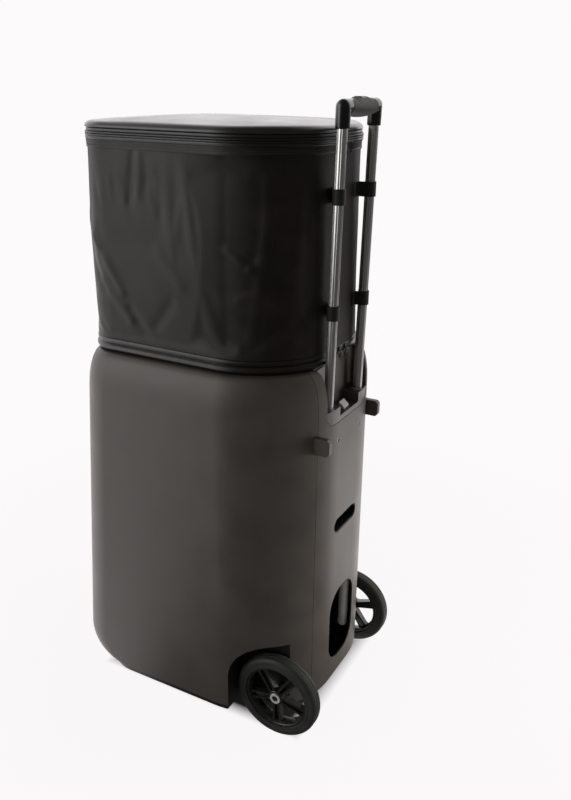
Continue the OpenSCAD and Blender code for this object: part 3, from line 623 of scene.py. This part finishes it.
def make_tyre(name, centre, side, body, node):
    """Solid tyre: flat side wall with a shallow ring, round shoulder, two fine grooves in the tread."""
    half = 14.75
    seat = 66.0
    outer = [(half - 1.3, seat), (half - 0.3, seat + 0.5), (half, seat + 1.6), (half, 71), (half - 0.6, 71.5)]
    outer += [(half - 0.6, 72.6), (half, 73.1), (half, 76)]
    outer += roll(half - 9, 78, 9, 9, 0, 90, 12)
    outer += [(4.4, 87), (4.0, 86.4), (3.4, 86.4), (3.0, 87)]
    inner = [(-along, radius) for along, radius in reversed(outer)]
    piece = turned(name, outer + inner + outer[:1], centre, side, 120)
    settle(piece, 40)
    finish_piece(piece, body, tyre_rubber, stands_for=[node])


def make_wheel_rim(name, centre, side, body, node):
    """Moulded rim: dished ring, hub and five spokes, each of two ribs on a set-back web."""
    ring = [(11.75, 65.9), (11.75, 63), (11.2, 62.2), (10.2, 61.6), (6, 59.4), (0, 58.2), (-6, 58.6)]
    ring += [(-11.75, 60.5), (-11.75, 65.9), (11.75, 65.9)]
    hub = [(-17.75, 6.2), (-17.75, 13), (-16.5, 14.2), (4, 14.6), (10, 15.4), (12.6, 15.6), (13.5, 15.1)]
    hub += [(13.75, 14.2), (13.75, 6.2), (-17.75, 6.2)]
    shapes = [turned("rim_ring", ring, centre, side, 120), turned("rim_hub", hub, centre, side, 64)]
    count = 5
    first_spoke = 108
    inner_end, spoke_l, back = 13, 48, -5
    for number in range(count):
        angle = math.radians(first_spoke + 360 * number / count)
        out = Vector((0, math.sin(angle), -side * math.cos(angle)))
        across = Vector((0, -out.z, out.y))

        def at(reach, offset, face):
            return centre + (out * reach + across * offset + Vector((side * face, 0, 0))) * mm

        for rib in (-1, 1):
            def rib_shape(u, v, w):
                share = (u + 1) / 2
                flare = 3.0 * max(0, (share - 0.8) / 0.2) ** 2 + 1.2 * max(0, (0.2 - share) / 0.2) ** 2
                offset = rib * (4.4 + 3.0 * share) + v * (2.0 + flare)
                top = 11.0 - 4.5 * share
                return at(inner_end + spoke_l * share, offset, back + (top - back) * (w + 1) / 2)

            shapes.append(block("rim_rib", rib_shape))

        def web_shape(u, v, w):
            share = (u + 1) / 2
            return at(inner_end + spoke_l * share, v * (5.6 + 3.2 * share), back + 4.2 * (w + 1) / 2)

        shapes.append(block("rim_web", web_shape))
    piece = join(shapes, name)
    break_edges(piece, 0.9 * mm, 40)
    settle(piece, 40)
    finish_piece(piece, body, wheel_plastic, stands_for=[node])


def make_hub_cap(name, centre, side, body, node):
    """Bright ring cap round a dark middle."""
    face = 13.75
    profile = [(0, 0), (0, 10.8), (0.3, 11), (1.7, 11), (2.25, 10.75), (2.5, 10.2), (2.5, 6.9), (2.35, 6.5)]
    profile += [(1.5, 6.2), (1.35, 5.6), (1.3, 3), (1.3, 0)]
    piece = turned(name, [(face + along, radius) for along, radius in profile], centre, side, 64)
    settle(piece, 30)
    finish_piece(piece, body, silver, stands_for=[node])
    piece.data.materials.append(black_plastic)
    for face_spot in piece.data.polygons:
        away = face_spot.center - centre
        if math.hypot(away.y, away.z) < 6.1 * mm and side * away.x > (face + 1) * mm:
            face_spot.material_index = 1


for which, direction in (("left", -1), ("right", 1)):
    tyre_low, tyre_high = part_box("tyre_" + which)
    wheel_centre = (tyre_low + tyre_high) / 2
    for make, node_name, ending in (
            (make_tyre, "tyre_", "_moulded"), (make_wheel_rim, "wheel_rim_", "_spoked"),
            (make_hub_cap, "hub_cap_", "_ring")):
        node_name += which
        make(node_name + ending, wheel_centre, direction, "wheel_" + which, node_name)


# The hopper's outline

bag_low, bag_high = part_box("hopper_wall")
bag_hw = bag_high.x
bag_h = bag_high.z - bag_low.z
bag_front = bag_low.y
bag_rear = bag_high.y
front_r = 152 * mm
rear_r = 66 * mm
rear_run = bag_hw - rear_r
side_run = (bag_rear - rear_r) - (bag_front + front_r)
front_run = bag_hw - front_r
rear_arc = turn / 4 * rear_r
front_arc = turn / 4 * front_r
half_way = rear_run + rear_arc + side_run + front_arc + front_run
bag_round = 2 * half_way

band_low, band_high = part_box("hopper_base_band")
rim_low, rim_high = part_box("hopper_rim")
lid_rim_low, lid_rim_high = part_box("lid_rim")
lid_low, lid_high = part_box("hopper_lid")
band_out = band_high.x - bag_hw
rim_out = rim_high.x - bag_hw
band_in = 5 * mm


def bag_walk(share):
    """Point and outward direction on the outline, a share of the way round from the rear by the left."""
    along = (share % 1.0) * bag_round
    side = -1
    if along > half_way:
        along = bag_round - along
        side = 1
    if along <= rear_run:
        return Vector((side * along, bag_rear, 0)), Vector((0, 1, 0))
    along -= rear_run
    if along <= rear_arc:
        angle = along / rear_r
        way = Vector((side * math.sin(angle), math.cos(angle), 0))
        return Vector((side * rear_run, bag_rear - rear_r, 0)) + way * rear_r, way
    along -= rear_arc
    if along <= side_run:
        return Vector((side * bag_hw, bag_rear - rear_r - along, 0)), Vector((side, 0, 0))
    along -= side_run
    if along <= front_arc:
        angle = along / front_r
        way = Vector((side * math.cos(angle), -math.sin(angle), 0))
        return Vector((side * front_run, bag_front + front_r, 0)) + way * front_r, way
    along -= front_arc
    return Vector((side * (front_run - along), bag_front, 0)), Vector((0, -1, 0))


def wrap(name, profile, columns=240, swell=None):
    """Strip wrapped round the hopper: a grid whose rows follow a profile of (out, height) points.
    swell(along, height) adds a move outwards."""
    rows = len(profile) - 1
    piece = grid(name, columns, rows)
    for vertex in piece.data.vertices:
        share = (vertex.co.x + 1) / 2
        point, outward = bag_walk(share)
        out, height = profile[round((vertex.co.y + 1) / 2 * rows)]
        if swell:
            out += swell(share * bag_round, height)
        vertex.co = point + outward * out + Vector((0, 0, height))
    steps = [math.dist(a, b) for a, b in zip(profile, profile[1:])]
    for spot in piece.data.uv_layers.active.data:
        spot.uv = (spot.uv[0] * bag_round, spot.uv[1] * sum(steps))
    edit(piece)
    bpy.ops.mesh.remove_doubles(threshold=0.02 * mm)
    close_edit()
    return piece


# Base band and zipped rim

def ribbed(points, ribs, depth):
    """Presses fine ribs into a run of profile points."""
    pace = turn * ribs / (len(points) - 1)
    return [(out - depth * (1 - math.cos(pace * i)) / 2, z) for i, (out, z) in enumerate(points)]


def make_base_band():
    """Ribbed cord cover in two rolls, the lower one fuller."""
    height = band_high.z - band_low.z
    split = band_low.z + 0.56 * height
    low_half = (split - band_low.z) / 2
    high_half = (band_high.z - split) / 2
    lower = roll(0, band_low.z + low_half, band_out, low_half, -88, 70, 32)
    upper = roll(-0.5 * mm, split + high_half, band_out - 1.4 * mm, high_half, -66, 88, 32)
    profile = [(-band_in, band_low.z)] + ribbed(lower, 4, 0.35 * mm) + ribbed(upper, 4, 0.35 * mm)
    profile += [(-band_in, band_high.z), (-band_in, band_low.z)]
    piece = wrap("hopper_base_band_piped", profile)
    settle(piece, 50)
    finish_piece(piece, "machine", piping_vinyl, stands_for=["hopper_base_band"])


def rear_tuck(along, height):
    """Draws the rim in along the hinge, so that the lid folds flat behind the hopper."""
    along = min(along, bag_round - along)
    return -1.5 * mm * ease((rear_run + 0.9 * rear_arc - along) / (0.6 * rear_arc))


def make_rim(name, low, high, body, node, upper):
    """Half of the zipped rim: a thin piping along the zip and a round band beyond it."""
    cord_r = 1.7 * mm
    proud = rim_out + 1.6 * mm
    if upper:
        cord = roll(proud - cord_r, low + cord_r, cord_r, cord_r, -90, 95, 12)
        band = roll(-1 * mm, low + 5.8 * mm, rim_out, 3.4 * mm, -50, 88, 12)
        profile = [(-band_in, low)] + cord + band + [(-band_in, high), (-band_in, low)]
    else:
        half = (high - low - 2.6 * mm) / 2
        band = roll(0, low + half, rim_out + 1.2 * mm, half, -88, 60, 16)
        cord = roll(proud - cord_r, high - cord_r, cord_r, cord_r, -95, 90, 12)
        profile = [(-band_in, low)] + band + cord + [(-band_in, high), (-band_in, low)]
    piece = wrap(name, profile, swell=rear_tuck)
    settle(piece, 50)
    finish_piece(piece, body, piping_vinyl, stands_for=[node])


make_base_band()
make_rim("hopper_rim_piped", rim_low.z, rim_high.z, "machine", "hopper_rim", False)
make_rim("lid_rim_piped", lid_rim_low.z, lid_rim_high.z, "lid", "lid_rim", True)


# Fabric wall of the hopper

wall_rows = 72
wall_columns = 300
cloth_t = 1.6 * mm
hem_h = 13 * mm

# Creases pressed into the wall or raised on it, in millimetres:
# along and height of one end, along and height of the other, width, rise
creases = [
    (286, 1098, 271, 1012, 9, -1.7), (300, 1098, 290, 1030, 11, 1.2), (318, 1050, 337, 1000, 14, -1.2),
    (150, 985, 196, 934, 9, 1.6), (186, 946, 246, 852, 8, 1.7), (204, 868, 262, 806, 9, 1.3),
    (176, 905, 205, 856, 9, -1.5), (240, 1040, 205, 985, 14, -1.5), (262, 824, 300, 776, 8, -1.2),
    (330, 930, 372, 880, 12, 0.9), (352, 846, 318, 800, 11, -0.9), (384, 1030, 360, 960, 13, 0.8),
    (462, 948, 503, 919, 6, 1.1), (503, 919, 536, 900, 7, 1.0), (534, 952, 497, 927, 8, -0.9),
    (520, 880, 482, 866, 7, 0.8), (560, 800, 610, 850, 12, -1.0), (590, 1000, 640, 940, 12, 0.8),
    (1130, 1096, 1146, 1020, 10, -1.6), (1190, 930, 1230, 860, 9, 1.5), (1090, 870, 1040, 800, 10, -1.3),
    (930, 960, 880, 900, 8, 1.0), (800, 1080, 790, 1000, 9, -1.3), (1345, 900, 1390, 820, 11, 1.4),
    (60, 1080, 85, 1000, 9, -1.6), (20, 860, 70, 800, 10, 1.3), (1390, 1060, 1360, 980, 9, 1.2),
]


def near(along, height, crease):
    """Distance of a point of the wall from a crease, in millimetres."""
    start = Vector(crease[0:2])
    run = Vector(crease[2:4]) - start
    spot = Vector((along, height)) - start
    share = min(max(spot.dot(run) / run.length_squared, 0), 1)
    return (spot - run * share).length


def wall_belly(height):
    """How far the wall bellies out of the outline: most at its sewn lower edge, least at the rim."""
    share = (height - bag_low.z) / bag_h
    return 3.4 * mm * (1 - share) - 0.3 * mm


def corner_draw(along, height):
    """The cloth turns in to the front corners earlier near its sewn edges than at its middle."""
    along = min(along, bag_round - along) / mm
    height = height / mm
    corner = (rear_run + rear_arc + side_run) / mm
    waist = 960
    lead = 22
    if height > waist:
        lead += 42 * ((height - waist) / 130) ** 2
    else:
        lead += 30 * ((waist - height) / 180) ** 2
    past = along - corner + lead
    if past <= 0:
        return 0
    steep = 0.13
    run_out = 20
    return -steep * min(past, lead + run_out) * ease(1 - (along - corner - run_out) / 120)


def wall_swell(along, height):
    """Slack of the wall: slow waves, and the creases."""
    share = (height - bag_low.z) / bag_h
    free = ease(share / 0.1) * ease((1 - share) / 0.06)
    x = along / mm
    z = height / mm
    waves = 0.7 * math.sin(x / 61 + z / 83) + 0.6 * math.sin(x / 37 - z / 59 + 1.3)
    waves += 0.4 * math.sin(z / 31 + x / 97)
    folds = 0
    for crease in creases:
        away = near(x, z, crease)
        if away < 3 * crease[4]:
            folds += crease[5] * math.exp(-(away / crease[4]) ** 2)
    slack = 0.8 * waves + 1.5 * folds + corner_draw(along, height)
    return wall_belly(height) + slack * free * mm


def make_wall():
    """One sheet of cloth round the hopper, settled between its bands, with its hem."""
    profile = [(0, bag_low.z + bag_h * i / wall_rows) for i in range(wall_rows + 1)]
    piece = wrap("hopper_wall_cloth", profile, wall_columns, wall_swell)
    slacken(piece)
    apply_modifier(piece, "SOLIDIFY", thickness=cloth_t, offset=-1.0)
    settle(piece, 60)
    finish_piece(piece, "machine", cloth, stands_for=["hopper_wall"])
    hem = make_hem()


def make_hem():
    """Doubled cloth below the rim, with a rolled lower edge."""
    base = bag_high.z - hem_h
    inset = wall_belly(bag_high.z - hem_h / 2)
    proud = inset + 1.5 * mm
    profile = [(inset - 0.8 * mm, base + 0.6 * mm), (inset + 0.6 * mm, base)]
    profile += roll(proud - 0.8 * mm, base + 1.2 * mm, 0.8 * mm, 1.2 * mm, -60, 60, 6)
    profile += [(proud - 0.7 * mm, base + 4 * mm), (proud - 0.3 * mm, base + 7 * mm), (proud, bag_high.z)]
    profile += [(inset - 0.8 * mm, bag_high.z), (inset - 0.8 * mm, base + 0.6 * mm)]
    piece = wrap("hopper_hem", profile)
    settle(piece, 50)
    return finish_piece(piece, "machine", cloth)


def slacken(piece):
    """Lets the cloth settle between its sewn edges."""
    sewn = piece.vertex_groups.new(name="sewn")
    edge = 8 * mm
    held = [v.index for v in piece.data.vertices if v.co.z < bag_low.z + edge or v.co.z > bag_high.z - edge]
    sewn.add(held, 1.0, "REPLACE")
    rest = [v.co.copy() for v in piece.data.vertices]
    only(piece)
    drape = piece.modifiers.new("cloth", "CLOTH")
    drape.settings.vertex_group_mass = "sewn"
    drape.settings.quality = 6
    drape.settings.mass = 0.2
    drape.settings.tension_stiffness = 20
    drape.settings.compression_stiffness = 20
    drape.settings.shear_stiffness = 8
    drape.settings.bending_stiffness = 8
    drape.settings.shrink_min = 0.0015
    drape.settings.effector_weights.gravity = 0.6
    frames = 20
    drape.point_cache.frame_start = 1
    drape.point_cache.frame_end = frames
    for step in range(1, frames + 1):
        bpy.context.scene.frame_set(step)
    bpy.ops.object.modifier_apply(modifier=drape.name)
    bpy.context.scene.frame_set(1)
    most = 1.6 * mm
    for vertex, start in zip(piece.data.vertices, rest):
        move = vertex.co - start
        if move.length > most:
            vertex.co = start + move * (most / move.length)
    piece.vertex_groups.clear()


make_wall()


# Stitches

def make_stitch(length):
    """One stitch of thread, along X."""
    piece = begin(bpy.ops.mesh.primitive_uv_sphere_add, "stitch", segments=8, ring_count=5, radius=1)
    edit(piece)
    bpy.ops.transform.resize(value=(length / 2, 0.5 * mm, 0.4 * mm))
    close_edit()
    return piece


def lie_along(point, run, outward):
    """Place with X along a run and Z outwards."""
    side = outward.cross(run)
    turned_to = Matrix((run, side, outward)).transposed()
    return Matrix.Translation(point) @ turned_to.to_4x4()


def make_hem_stitches():
    """Two rows of stitches round the hem."""
    pitch = 4.4 * mm
    places = []
    inset = wall_belly(bag_high.z - hem_h / 2) + 1.0 * mm
    for height in (bag_high.z - hem_h + 4.2 * mm, bag_high.z - hem_h + 7.4 * mm):
        for number in range(int(bag_round / pitch)):
            point, outward = bag_walk(number * pitch / bag_round)
            run = Vector((0, 0, 1)).cross(outward)
            places.append(lie_along(point + outward * inset + Vector((0, 0, height)), run, outward))
    piece = stamp(make_stitch(3.2 * mm), places, "hopper_hem_stitches")
    finish_piece(piece, "machine", thread)


make_hem_stitches()


# Padded lid

lid_edge_r = 14 * mm
lid_edge_h = 10 * mm


def edge_distance(x, y):
    """Distance of a point inside the hopper's outline from that outline."""
    x = abs(x)
    if x > front_run and y < bag_front + front_r:
        return front_r - math.hypot(x - front_run, y - bag_front - front_r)
    if x > rear_run and y > bag_rear - rear_r:
        return rear_r - math.hypot(x - rear_run, y - bag_rear + rear_r)
    return min(bag_hw - x, y - bag_front, bag_rear - y)


def lid_height(x, y):
    """Height of the padded lid above its seat: a rolled edge that runs into a low crown."""
    away = edge_distance(x, y) + lid_high.x - bag_hw
    rolled = 1 - min(max(away / lid_edge_r, 0), 1)
    half_depth = (bag_rear - bag_front) / 2
    reach = (x / bag_hw) ** 4 + ((y - bag_front - half_depth) / half_depth) ** 4
    crown = 1 - min(reach ** 0.25, 1) ** 2.5
    return lid_edge_h * math.sqrt(1 - rolled ** 2) + (lid_high.z - lid_low.z - lid_edge_h) * crown


def make_lid():
    """Closed pad: its edge is wrapped round the hopper, both openings are filled, and the top is raised."""
    seat = lid_low.z
    out = lid_high.x - bag_hw
    inner = [out - lid_edge_r * (1 - math.cos(math.radians(a))) for a in range(0, 91, 9)]
    inner += [out - lid_edge_r - 4 * mm * i for i in range(1, 9)]
    profile = [(out - 4 * mm, seat), (out - 0.6 * mm, seat + 0.3 * mm), (out, seat + 1.2 * mm)]
    profile += [(step, seat + 2 * mm) for step in inner]
    piece = wrap("hopper_lid_padded", profile, 240)
    edit(piece)
    bpy.ops.mesh.select_mode(type="EDGE")
    for high in (True, False):
        bpy.ops.mesh.select_all(action="DESELECT")
        form = bmesh.from_edit_mesh(piece.data)
        for edge_line in form.edges:
            on_top = edge_line.verts[0].co.z > seat + 1 * mm
            edge_line.select = edge_line.is_boundary and on_top == high
        bpy.ops.mesh.fill_grid(span=60)
    close_edit()
    for vertex in piece.data.vertices:
        if vertex.co.z > seat + 1.9 * mm:
            vertex.co.z = seat + 1.2 * mm + lid_height(vertex.co.x, vertex.co.y) * 0.93
    close_shape(piece, 0.02 * mm, holes=False)
    settle(piece, 60)
    finish_piece(piece, "lid", lid_foam, stands_for=["hopper_lid"])
    piece.data.materials.append(lining)
    for face in piece.data.polygons:
        if face.normal.z < -0.9 and face.center.z < seat + 0.5 * mm:
            face.material_index = 1


make_lid()


# Straps and hinge tape

def ribbon(name, path, height, rows=6):
    """Woven tape on edge along a path of points, which run along its middle line."""
    columns = len(path) - 1
    piece = grid(name, columns, rows)
    lengths = [0]
    for before, after in zip(path, path[1:]):
        lengths.append(lengths[-1] + (after - before).length)
    for vertex in piece.data.vertices:
        column = round((vertex.co.x + 1) / 2 * columns)
        vertex.co = path[column] + Vector((0, 0, vertex.co.y * height / 2))
    for spot in piece.data.uv_layers.active.data:
        spot.uv = (lengths[round(spot.uv[0] * columns)], spot.uv[1] * height)
    return piece


def bag_face(x, height):
    """Front of the slack wall at a distance from the middle."""
    side = max(0, abs(x) - front_run)
    return bag_front + front_r - math.sqrt(front_r ** 2 - side ** 2) - wall_belly(height)


def make_strap(node, side, loose):
    """Webbing loop round a handle tube, with both ends sewn to the hopper."""
    low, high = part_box(node)
    level = (low.z + high.z) / 2
    height = high.z - low.z
    x = side * tube_x * mm
    tube_y = handle_foot.y - (level - handle_foot.z) * math.tan(handle_lean)
    loop_r = 10.3 * mm
    lead = 1.2 * mm
    inner = -side
    loop = []
    for step in range(31):
        angle = math.radians(-80 + 260 * step / 30)
        away = Vector((-inner * math.cos(angle), -math.sin(angle), 0))
        loop.append(Vector((x, tube_y, level)) + away * loop_r)
    tail = []
    for offset, away in ((10.3, 4), (11.3, 1.8), (13, 0.5), (16, 0), (22, 0)):
        spot_x = x + inner * offset * mm
        tail.append(Vector((spot_x, bag_face(spot_x, level) - lead - away * mm, level)))
    piece = ribbon(node + "_webbing", loop + tail, height)
    apply_modifier(piece, "SOLIDIFY", thickness=1.6 * mm, offset=0.0)
    break_edges(piece, 0.4 * mm, 60)
    settle(piece, 50)
    finish_piece(piece, "machine", webbing, stands_for=[node])
    if loose:
        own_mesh(piece)


for which, direction in (("left", -1), ("right", 1)):
    make_strap("strap_upper_" + which, direction, True)
    make_strap("strap_lower_" + which, direction, False)


def make_hinge_tape():
    """Woven tape over the lid's hinge."""
    low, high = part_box("lid_hinge_tape")
    rows = 16
    piece = grid("lid_hinge_tape_woven", 60, rows)
    for vertex in piece.data.vertices:
        bow = 0.5 * mm * (1 - vertex.co.y ** 2)
        vertex.co = Vector((
            vertex.co.x * high.x, low.y + 0.3 * mm + bow, low.z + (high.z - low.z) * (vertex.co.y + 1) / 2))
    for spot in piece.data.uv_layers.active.data:
        spot.uv = (spot.uv[0] * 2 * high.x, spot.uv[1] * (high.z - low.z))
    apply_modifier(piece, "SOLIDIFY", thickness=0.8 * mm, offset=0.0)
    settle(piece, 50)
    finish_piece(piece, None, webbing, stands_for=["lid_hinge_tape"])
    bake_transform(piece)


make_hinge_tape()


# Zip sliders

def make_slider(x, face, front, high, low, swing):
    """Cast slider with a long ring pull that hangs a little askew."""
    mid_y = (face + front) / 2
    depth = face - front

    def cast(u, v, w):
        half_width = 4.3 * mm * (1 - 0.28 * (1 - min(1, abs(w) * 1.4)))
        y = mid_y + 0.5 * mm + v * (depth / 2 - 0.7 * mm)
        return Vector((x + u * half_width, y, high - (1 - w) * 4 * mm))

    body = block("slider_cast", cast, 4)
    break_edges(body, 0.6 * mm, 45)
    pull = begin(
        bpy.ops.mesh.primitive_torus_add, "slider_pull", major_segments=40, minor_segments=10,
        major_radius=1, minor_radius=0.2, rotation=(math.radians(90), 0, 0))
    bpy.ops.object.transform_apply(rotation=True)
    edit(pull)
    half = (high - 5 * mm - low) / 2
    bpy.ops.transform.resize(value=(3.4 * mm / 1.2, 0.75 * mm / 0.2, half / 1.2))
    bpy.ops.transform.rotate(value=math.radians(swing), orient_axis="Y", center_override=(0, 0, half))
    bpy.ops.transform.translate(value=(x, front + 0.8 * mm, low + half))
    close_edit()
    return [body, pull]


def make_sliders(node):
    """Pair of sliders that meet at the front."""
    low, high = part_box(node)
    shapes = []
    for x, swing in ((-12 * mm, 9), (12 * mm, -6)):
        shapes += make_slider(x, high.y, low.y, high.z, low.z, swing)
    piece = join(shapes, node + "_cast")
    settle(piece, 40)
    finish_piece(piece, "machine", dark_nickel, stands_for=[node])


make_sliders("zip_sliders")
make_sliders("lid_zip_sliders")


# Marks on the control panel

def make_tick(length, width):
    """One raised mark, along Z, standing out to the rear."""
    piece = block("tick", lambda u, v, w: Vector((u * width / 2, v * 0.2 * mm, w * length / 2)), 1)
    break_edges(piece, 0.12 * mm, 45)
    return piece


def make_marks():
    """Eleven ticks round each dial, and the dials' pointers."""
    face_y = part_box("control_panel")[1].y
    places = []
    for node in ("speed_dial", "feed_dial"):
        dial_low, dial_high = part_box(node)
        middle = (dial_low + dial_high) / 2
        across = dial_high.x - dial_low.x
        reach = across / 2 + 4.5 * mm
        for number in range(11):
            angle = math.radians(-140 + 28 * number)
            spot = Vector((middle.x - reach * math.sin(angle), face_y, middle.z + reach * math.cos(angle)))
            places.append(Matrix.Translation(spot) @ Matrix.Rotation(-angle, 4, "Y"))
        pointer = make_tick(across * 0.36, 1.4 * mm)
        edit(pointer)
        bpy.ops.transform.translate(value=(middle.x, dial_high.y, middle.z + across * 0.27))
        close_edit()
        settle(pointer)
        pointer.name = node + "_pointer"
        finish_piece(pointer, frame["nodes"][node]["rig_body"], pale_plastic)
    piece = stamp(make_tick(3 * mm, 0.8 * mm), places, "control_panel_marks")
    finish_piece(piece, "machine", pale_plastic)


make_marks()


# Stage, lights and camera

# level direction of the white backdrop, and how bright reflections see it
backdrop_side = (0.695, 0.719, 0.0)
backdrop_glow = 1.9
backdrop_white = "#fdfafb"
room_white = "#fffaf4"


def sort_rays(tree):
    """Output for rays from the camera, and a node for rays that mirror or pass through something."""
    rays = add_node(tree, "LightPath")
    mirrored = add_node(tree, "Math", {
        0: rays.outputs["Is Glossy Ray"], 1: rays.outputs["Is Transmission Ray"]}, operation="MAXIMUM")
    return rays.outputs["Is Camera Ray"], mirrored


def make_floor():
    """Pale floor that runs into the backdrop and keeps some of the object's shadow, with a painted shadow
    under the body.
    """
    floor = begin(bpy.ops.mesh.primitive_plane_add, "floor", size=40)
    material, tree, shader = start_material("pale_floor", {"Roughness": 0.8})
    place = add_node(tree, "TexCoord").outputs["Object"]
    parts = add_node(tree, "SeparateXYZ", {"Vector": place})

    # painted shadow: the floor's colour is dark below the body, in an oblong 1.35 times as long as it is wide
    across = add_node(tree, "Math", {0: parts.outputs["X"]}, operation="ABSOLUTE")
    along = add_node(tree, "Math", {0: parts.outputs["Y"]}, operation="ABSOLUTE")
    wider = add_node(tree, "Math", {0: across, 1: 1.35}, operation="MULTIPLY")
    footprint = add_node(tree, "Math", {0: wider, 1: along}, operation="MAXIMUM")
    under = add_node(tree, "MapRange", {"Value": footprint, "From Min": 0.2, "From Max": 0.244})
    # painted shadow colour under the body, pale floor outside it
    shade = set_stops(add_node(tree, "ValToRGB", {"Fac": under}), [(0.0, "#3a3838"), (1.0, "#f4f2f3")])
    connect(tree, shader, {"Base Color": shade})

    # share of its own white that the camera sees
    away = add_node(tree, "VectorMath", {0: place}, operation="LENGTH").outputs["Value"]
    far = add_node(tree, "MapRange", {
        "Value": away, "From Min": 0.4, "From Max": 1.5, "To Min": 0.95, "To Max": 1.0})
    fade = add_node(tree, "Math", {0: far, 1: under}, operation="MULTIPLY")

    # level that reflections see: bright below the backdrop, dim towards the camera and at both ends
    way = add_node(tree, "VectorMath", {0: place}, operation="NORMALIZE")
    side = add_node(tree, "VectorMath", {0: way, 1: backdrop_side}, operation="DOT_PRODUCT")
    lit = add_node(tree, "MapRange", {
        "Value": side.outputs["Value"], "From Min": -0.55, "From Max": 0.15,
        "To Min": 0.08, "To Max": backdrop_glow}, interpolation_type="SMOOTHSTEP")
    right = add_node(tree, "MapRange", {
        "Value": parts.outputs["X"], "From Min": 1.3, "From Max": 2.6, "To Min": 1.0, "To Max": 0.08})
    left = add_node(tree, "MapRange", {
        "Value": parts.outputs["X"], "From Min": -3.4, "From Max": -1.4, "To Min": 0.6, "To Max": 1.0})
    ends = add_node(tree, "Math", {0: right, 1: left}, operation="MULTIPLY")
    level = add_node(tree, "Math", {0: lit, 1: ends}, operation="MULTIPLY")

    direct, mirrored = sort_rays(tree)
    bright = add_node(tree, "Mix", {"Factor": direct, "A": level, "B": 1.0})
    glow = add_node(tree, "Emission", {"Color": linear(backdrop_white), "Strength": bright})
    straight = add_node(tree, "Math", {0: direct, 1: fade}, operation="MULTIPLY")
    seen = add_node(tree, "Math", {0: straight, 1: mirrored}, operation="MAXIMUM")
    mixed = add_node(tree, "MixShader", {"Fac": seen, 1: shader, 2: glow})
    connect(tree, tree.nodes["Material Output"], {"Surface": mixed})
    floor.data.materials.append(material)


def make_world():
    """Dim room with a white backdrop behind the object, which the camera sees all round."""
    world = bpy.data.worlds.new("studio")
    bpy.context.scene.world = world
    world.use_nodes = True
    tree = world.node_tree
    room = tree.nodes["Background"]
    connect(tree, room, {"Color": linear(room_white), "Strength": 0.3})
    backdrop = add_node(tree, "Background", {"Color": linear(backdrop_white), "Strength": 1.0})
    white = add_node(tree, "Background", {"Color": linear(backdrop_white), "Strength": backdrop_glow})
    dark = add_node(tree, "Background", {"Color": linear(room_white), "Strength": 0.1})
    way = add_node(tree, "TexCoord").outputs["Generated"]
    side = add_node(tree, "VectorMath", {0: way, 1: backdrop_side}, operation="DOT_PRODUCT")
    lit = add_node(tree, "MapRange", {
        "Value": side.outputs["Value"], "From Min": -0.3, "From Max": 0.1}, interpolation_type="SMOOTHSTEP")
    height = add_node(tree, "SeparateXYZ", {"Vector": way}).outputs["Z"]
    low = add_node(tree, "MapRange", {
        "Value": height, "From Min": 0.5, "From Max": 0.95, "To Min": 1.0, "To Max": 0.0},
        interpolation_type="SMOOTHSTEP")
    wall = add_node(tree, "Math", {0: lit, 1: low}, operation="MULTIPLY")
    direct, mirrored = sort_rays(tree)
    reflected = add_node(tree, "MixShader", {"Fac": wall, 1: dark, 2: white})
    unseen = add_node(tree, "MixShader", {"Fac": mirrored, 1: room, 2: reflected})
    mixed = add_node(tree, "MixShader", {"Fac": direct, 1: unseen, 2: backdrop})
    connect(tree, tree.nodes["World Output"], {"Surface": mixed})


def make_softbox(name, place, size, power, aim=(0, 0, 0.6), spread=180):
    """Rectangular lamp that points at its aim and isn't seen itself."""
    lamp = begin(bpy.ops.object.light_add, name, type="AREA", location=place)
    lamp.data.shape = "RECTANGLE"
    lamp.data.size, lamp.data.size_y = size
    lamp.data.energy = power
    lamp.data.spread = math.radians(spread)
    lamp.rotation_mode = "QUATERNION"
    lamp.rotation_quaternion = (Vector(aim) - Vector(place)).to_track_quat("-Z", "Y")
    lamp.visible_camera = False
    return lamp


# the photograph's view: angles in degrees, lens in millimetres on a 36 mm sensor
camera_place = (-1.29951, -0.80886, 1.21143)
camera_yaw = -61.6825
camera_pitch = 21.4624
camera_roll = 0.6773
camera_lens = 36.962


def make_camera():
    """Camera at the place and angle of the photograph's."""
    camera = begin(bpy.ops.object.camera_add, "camera", location=camera_place)
    yaw = Matrix.Rotation(math.radians(camera_yaw), 4, "Z")
    tip = Matrix.Rotation(math.radians(90 - camera_pitch), 4, "X")
    tilt = Matrix.Rotation(math.radians(camera_roll), 4, "Z")
    camera.matrix_world = Matrix.Translation(camera_place) @ yaw @ tip @ tilt
    camera.data.lens = camera_lens
    camera.data.sensor_width = 36
    camera.data.clip_end = 60
    bpy.context.scene.camera = camera


make_floor()
make_world()
make_softbox("left_rear_softbox", (-2.4, 1.6, 1.5), (1.6, 2.4), 30)
panel_fill = make_softbox(
    "right_front_softbox", (0.9, -1.6, 0.3), (0.9, 0.5), 7, (0.05, -0.24, 0.2), 70)
panel_fill.visible_glossy = False
make_camera()
bpy.context.scene.view_settings.view_transform = "Standard"
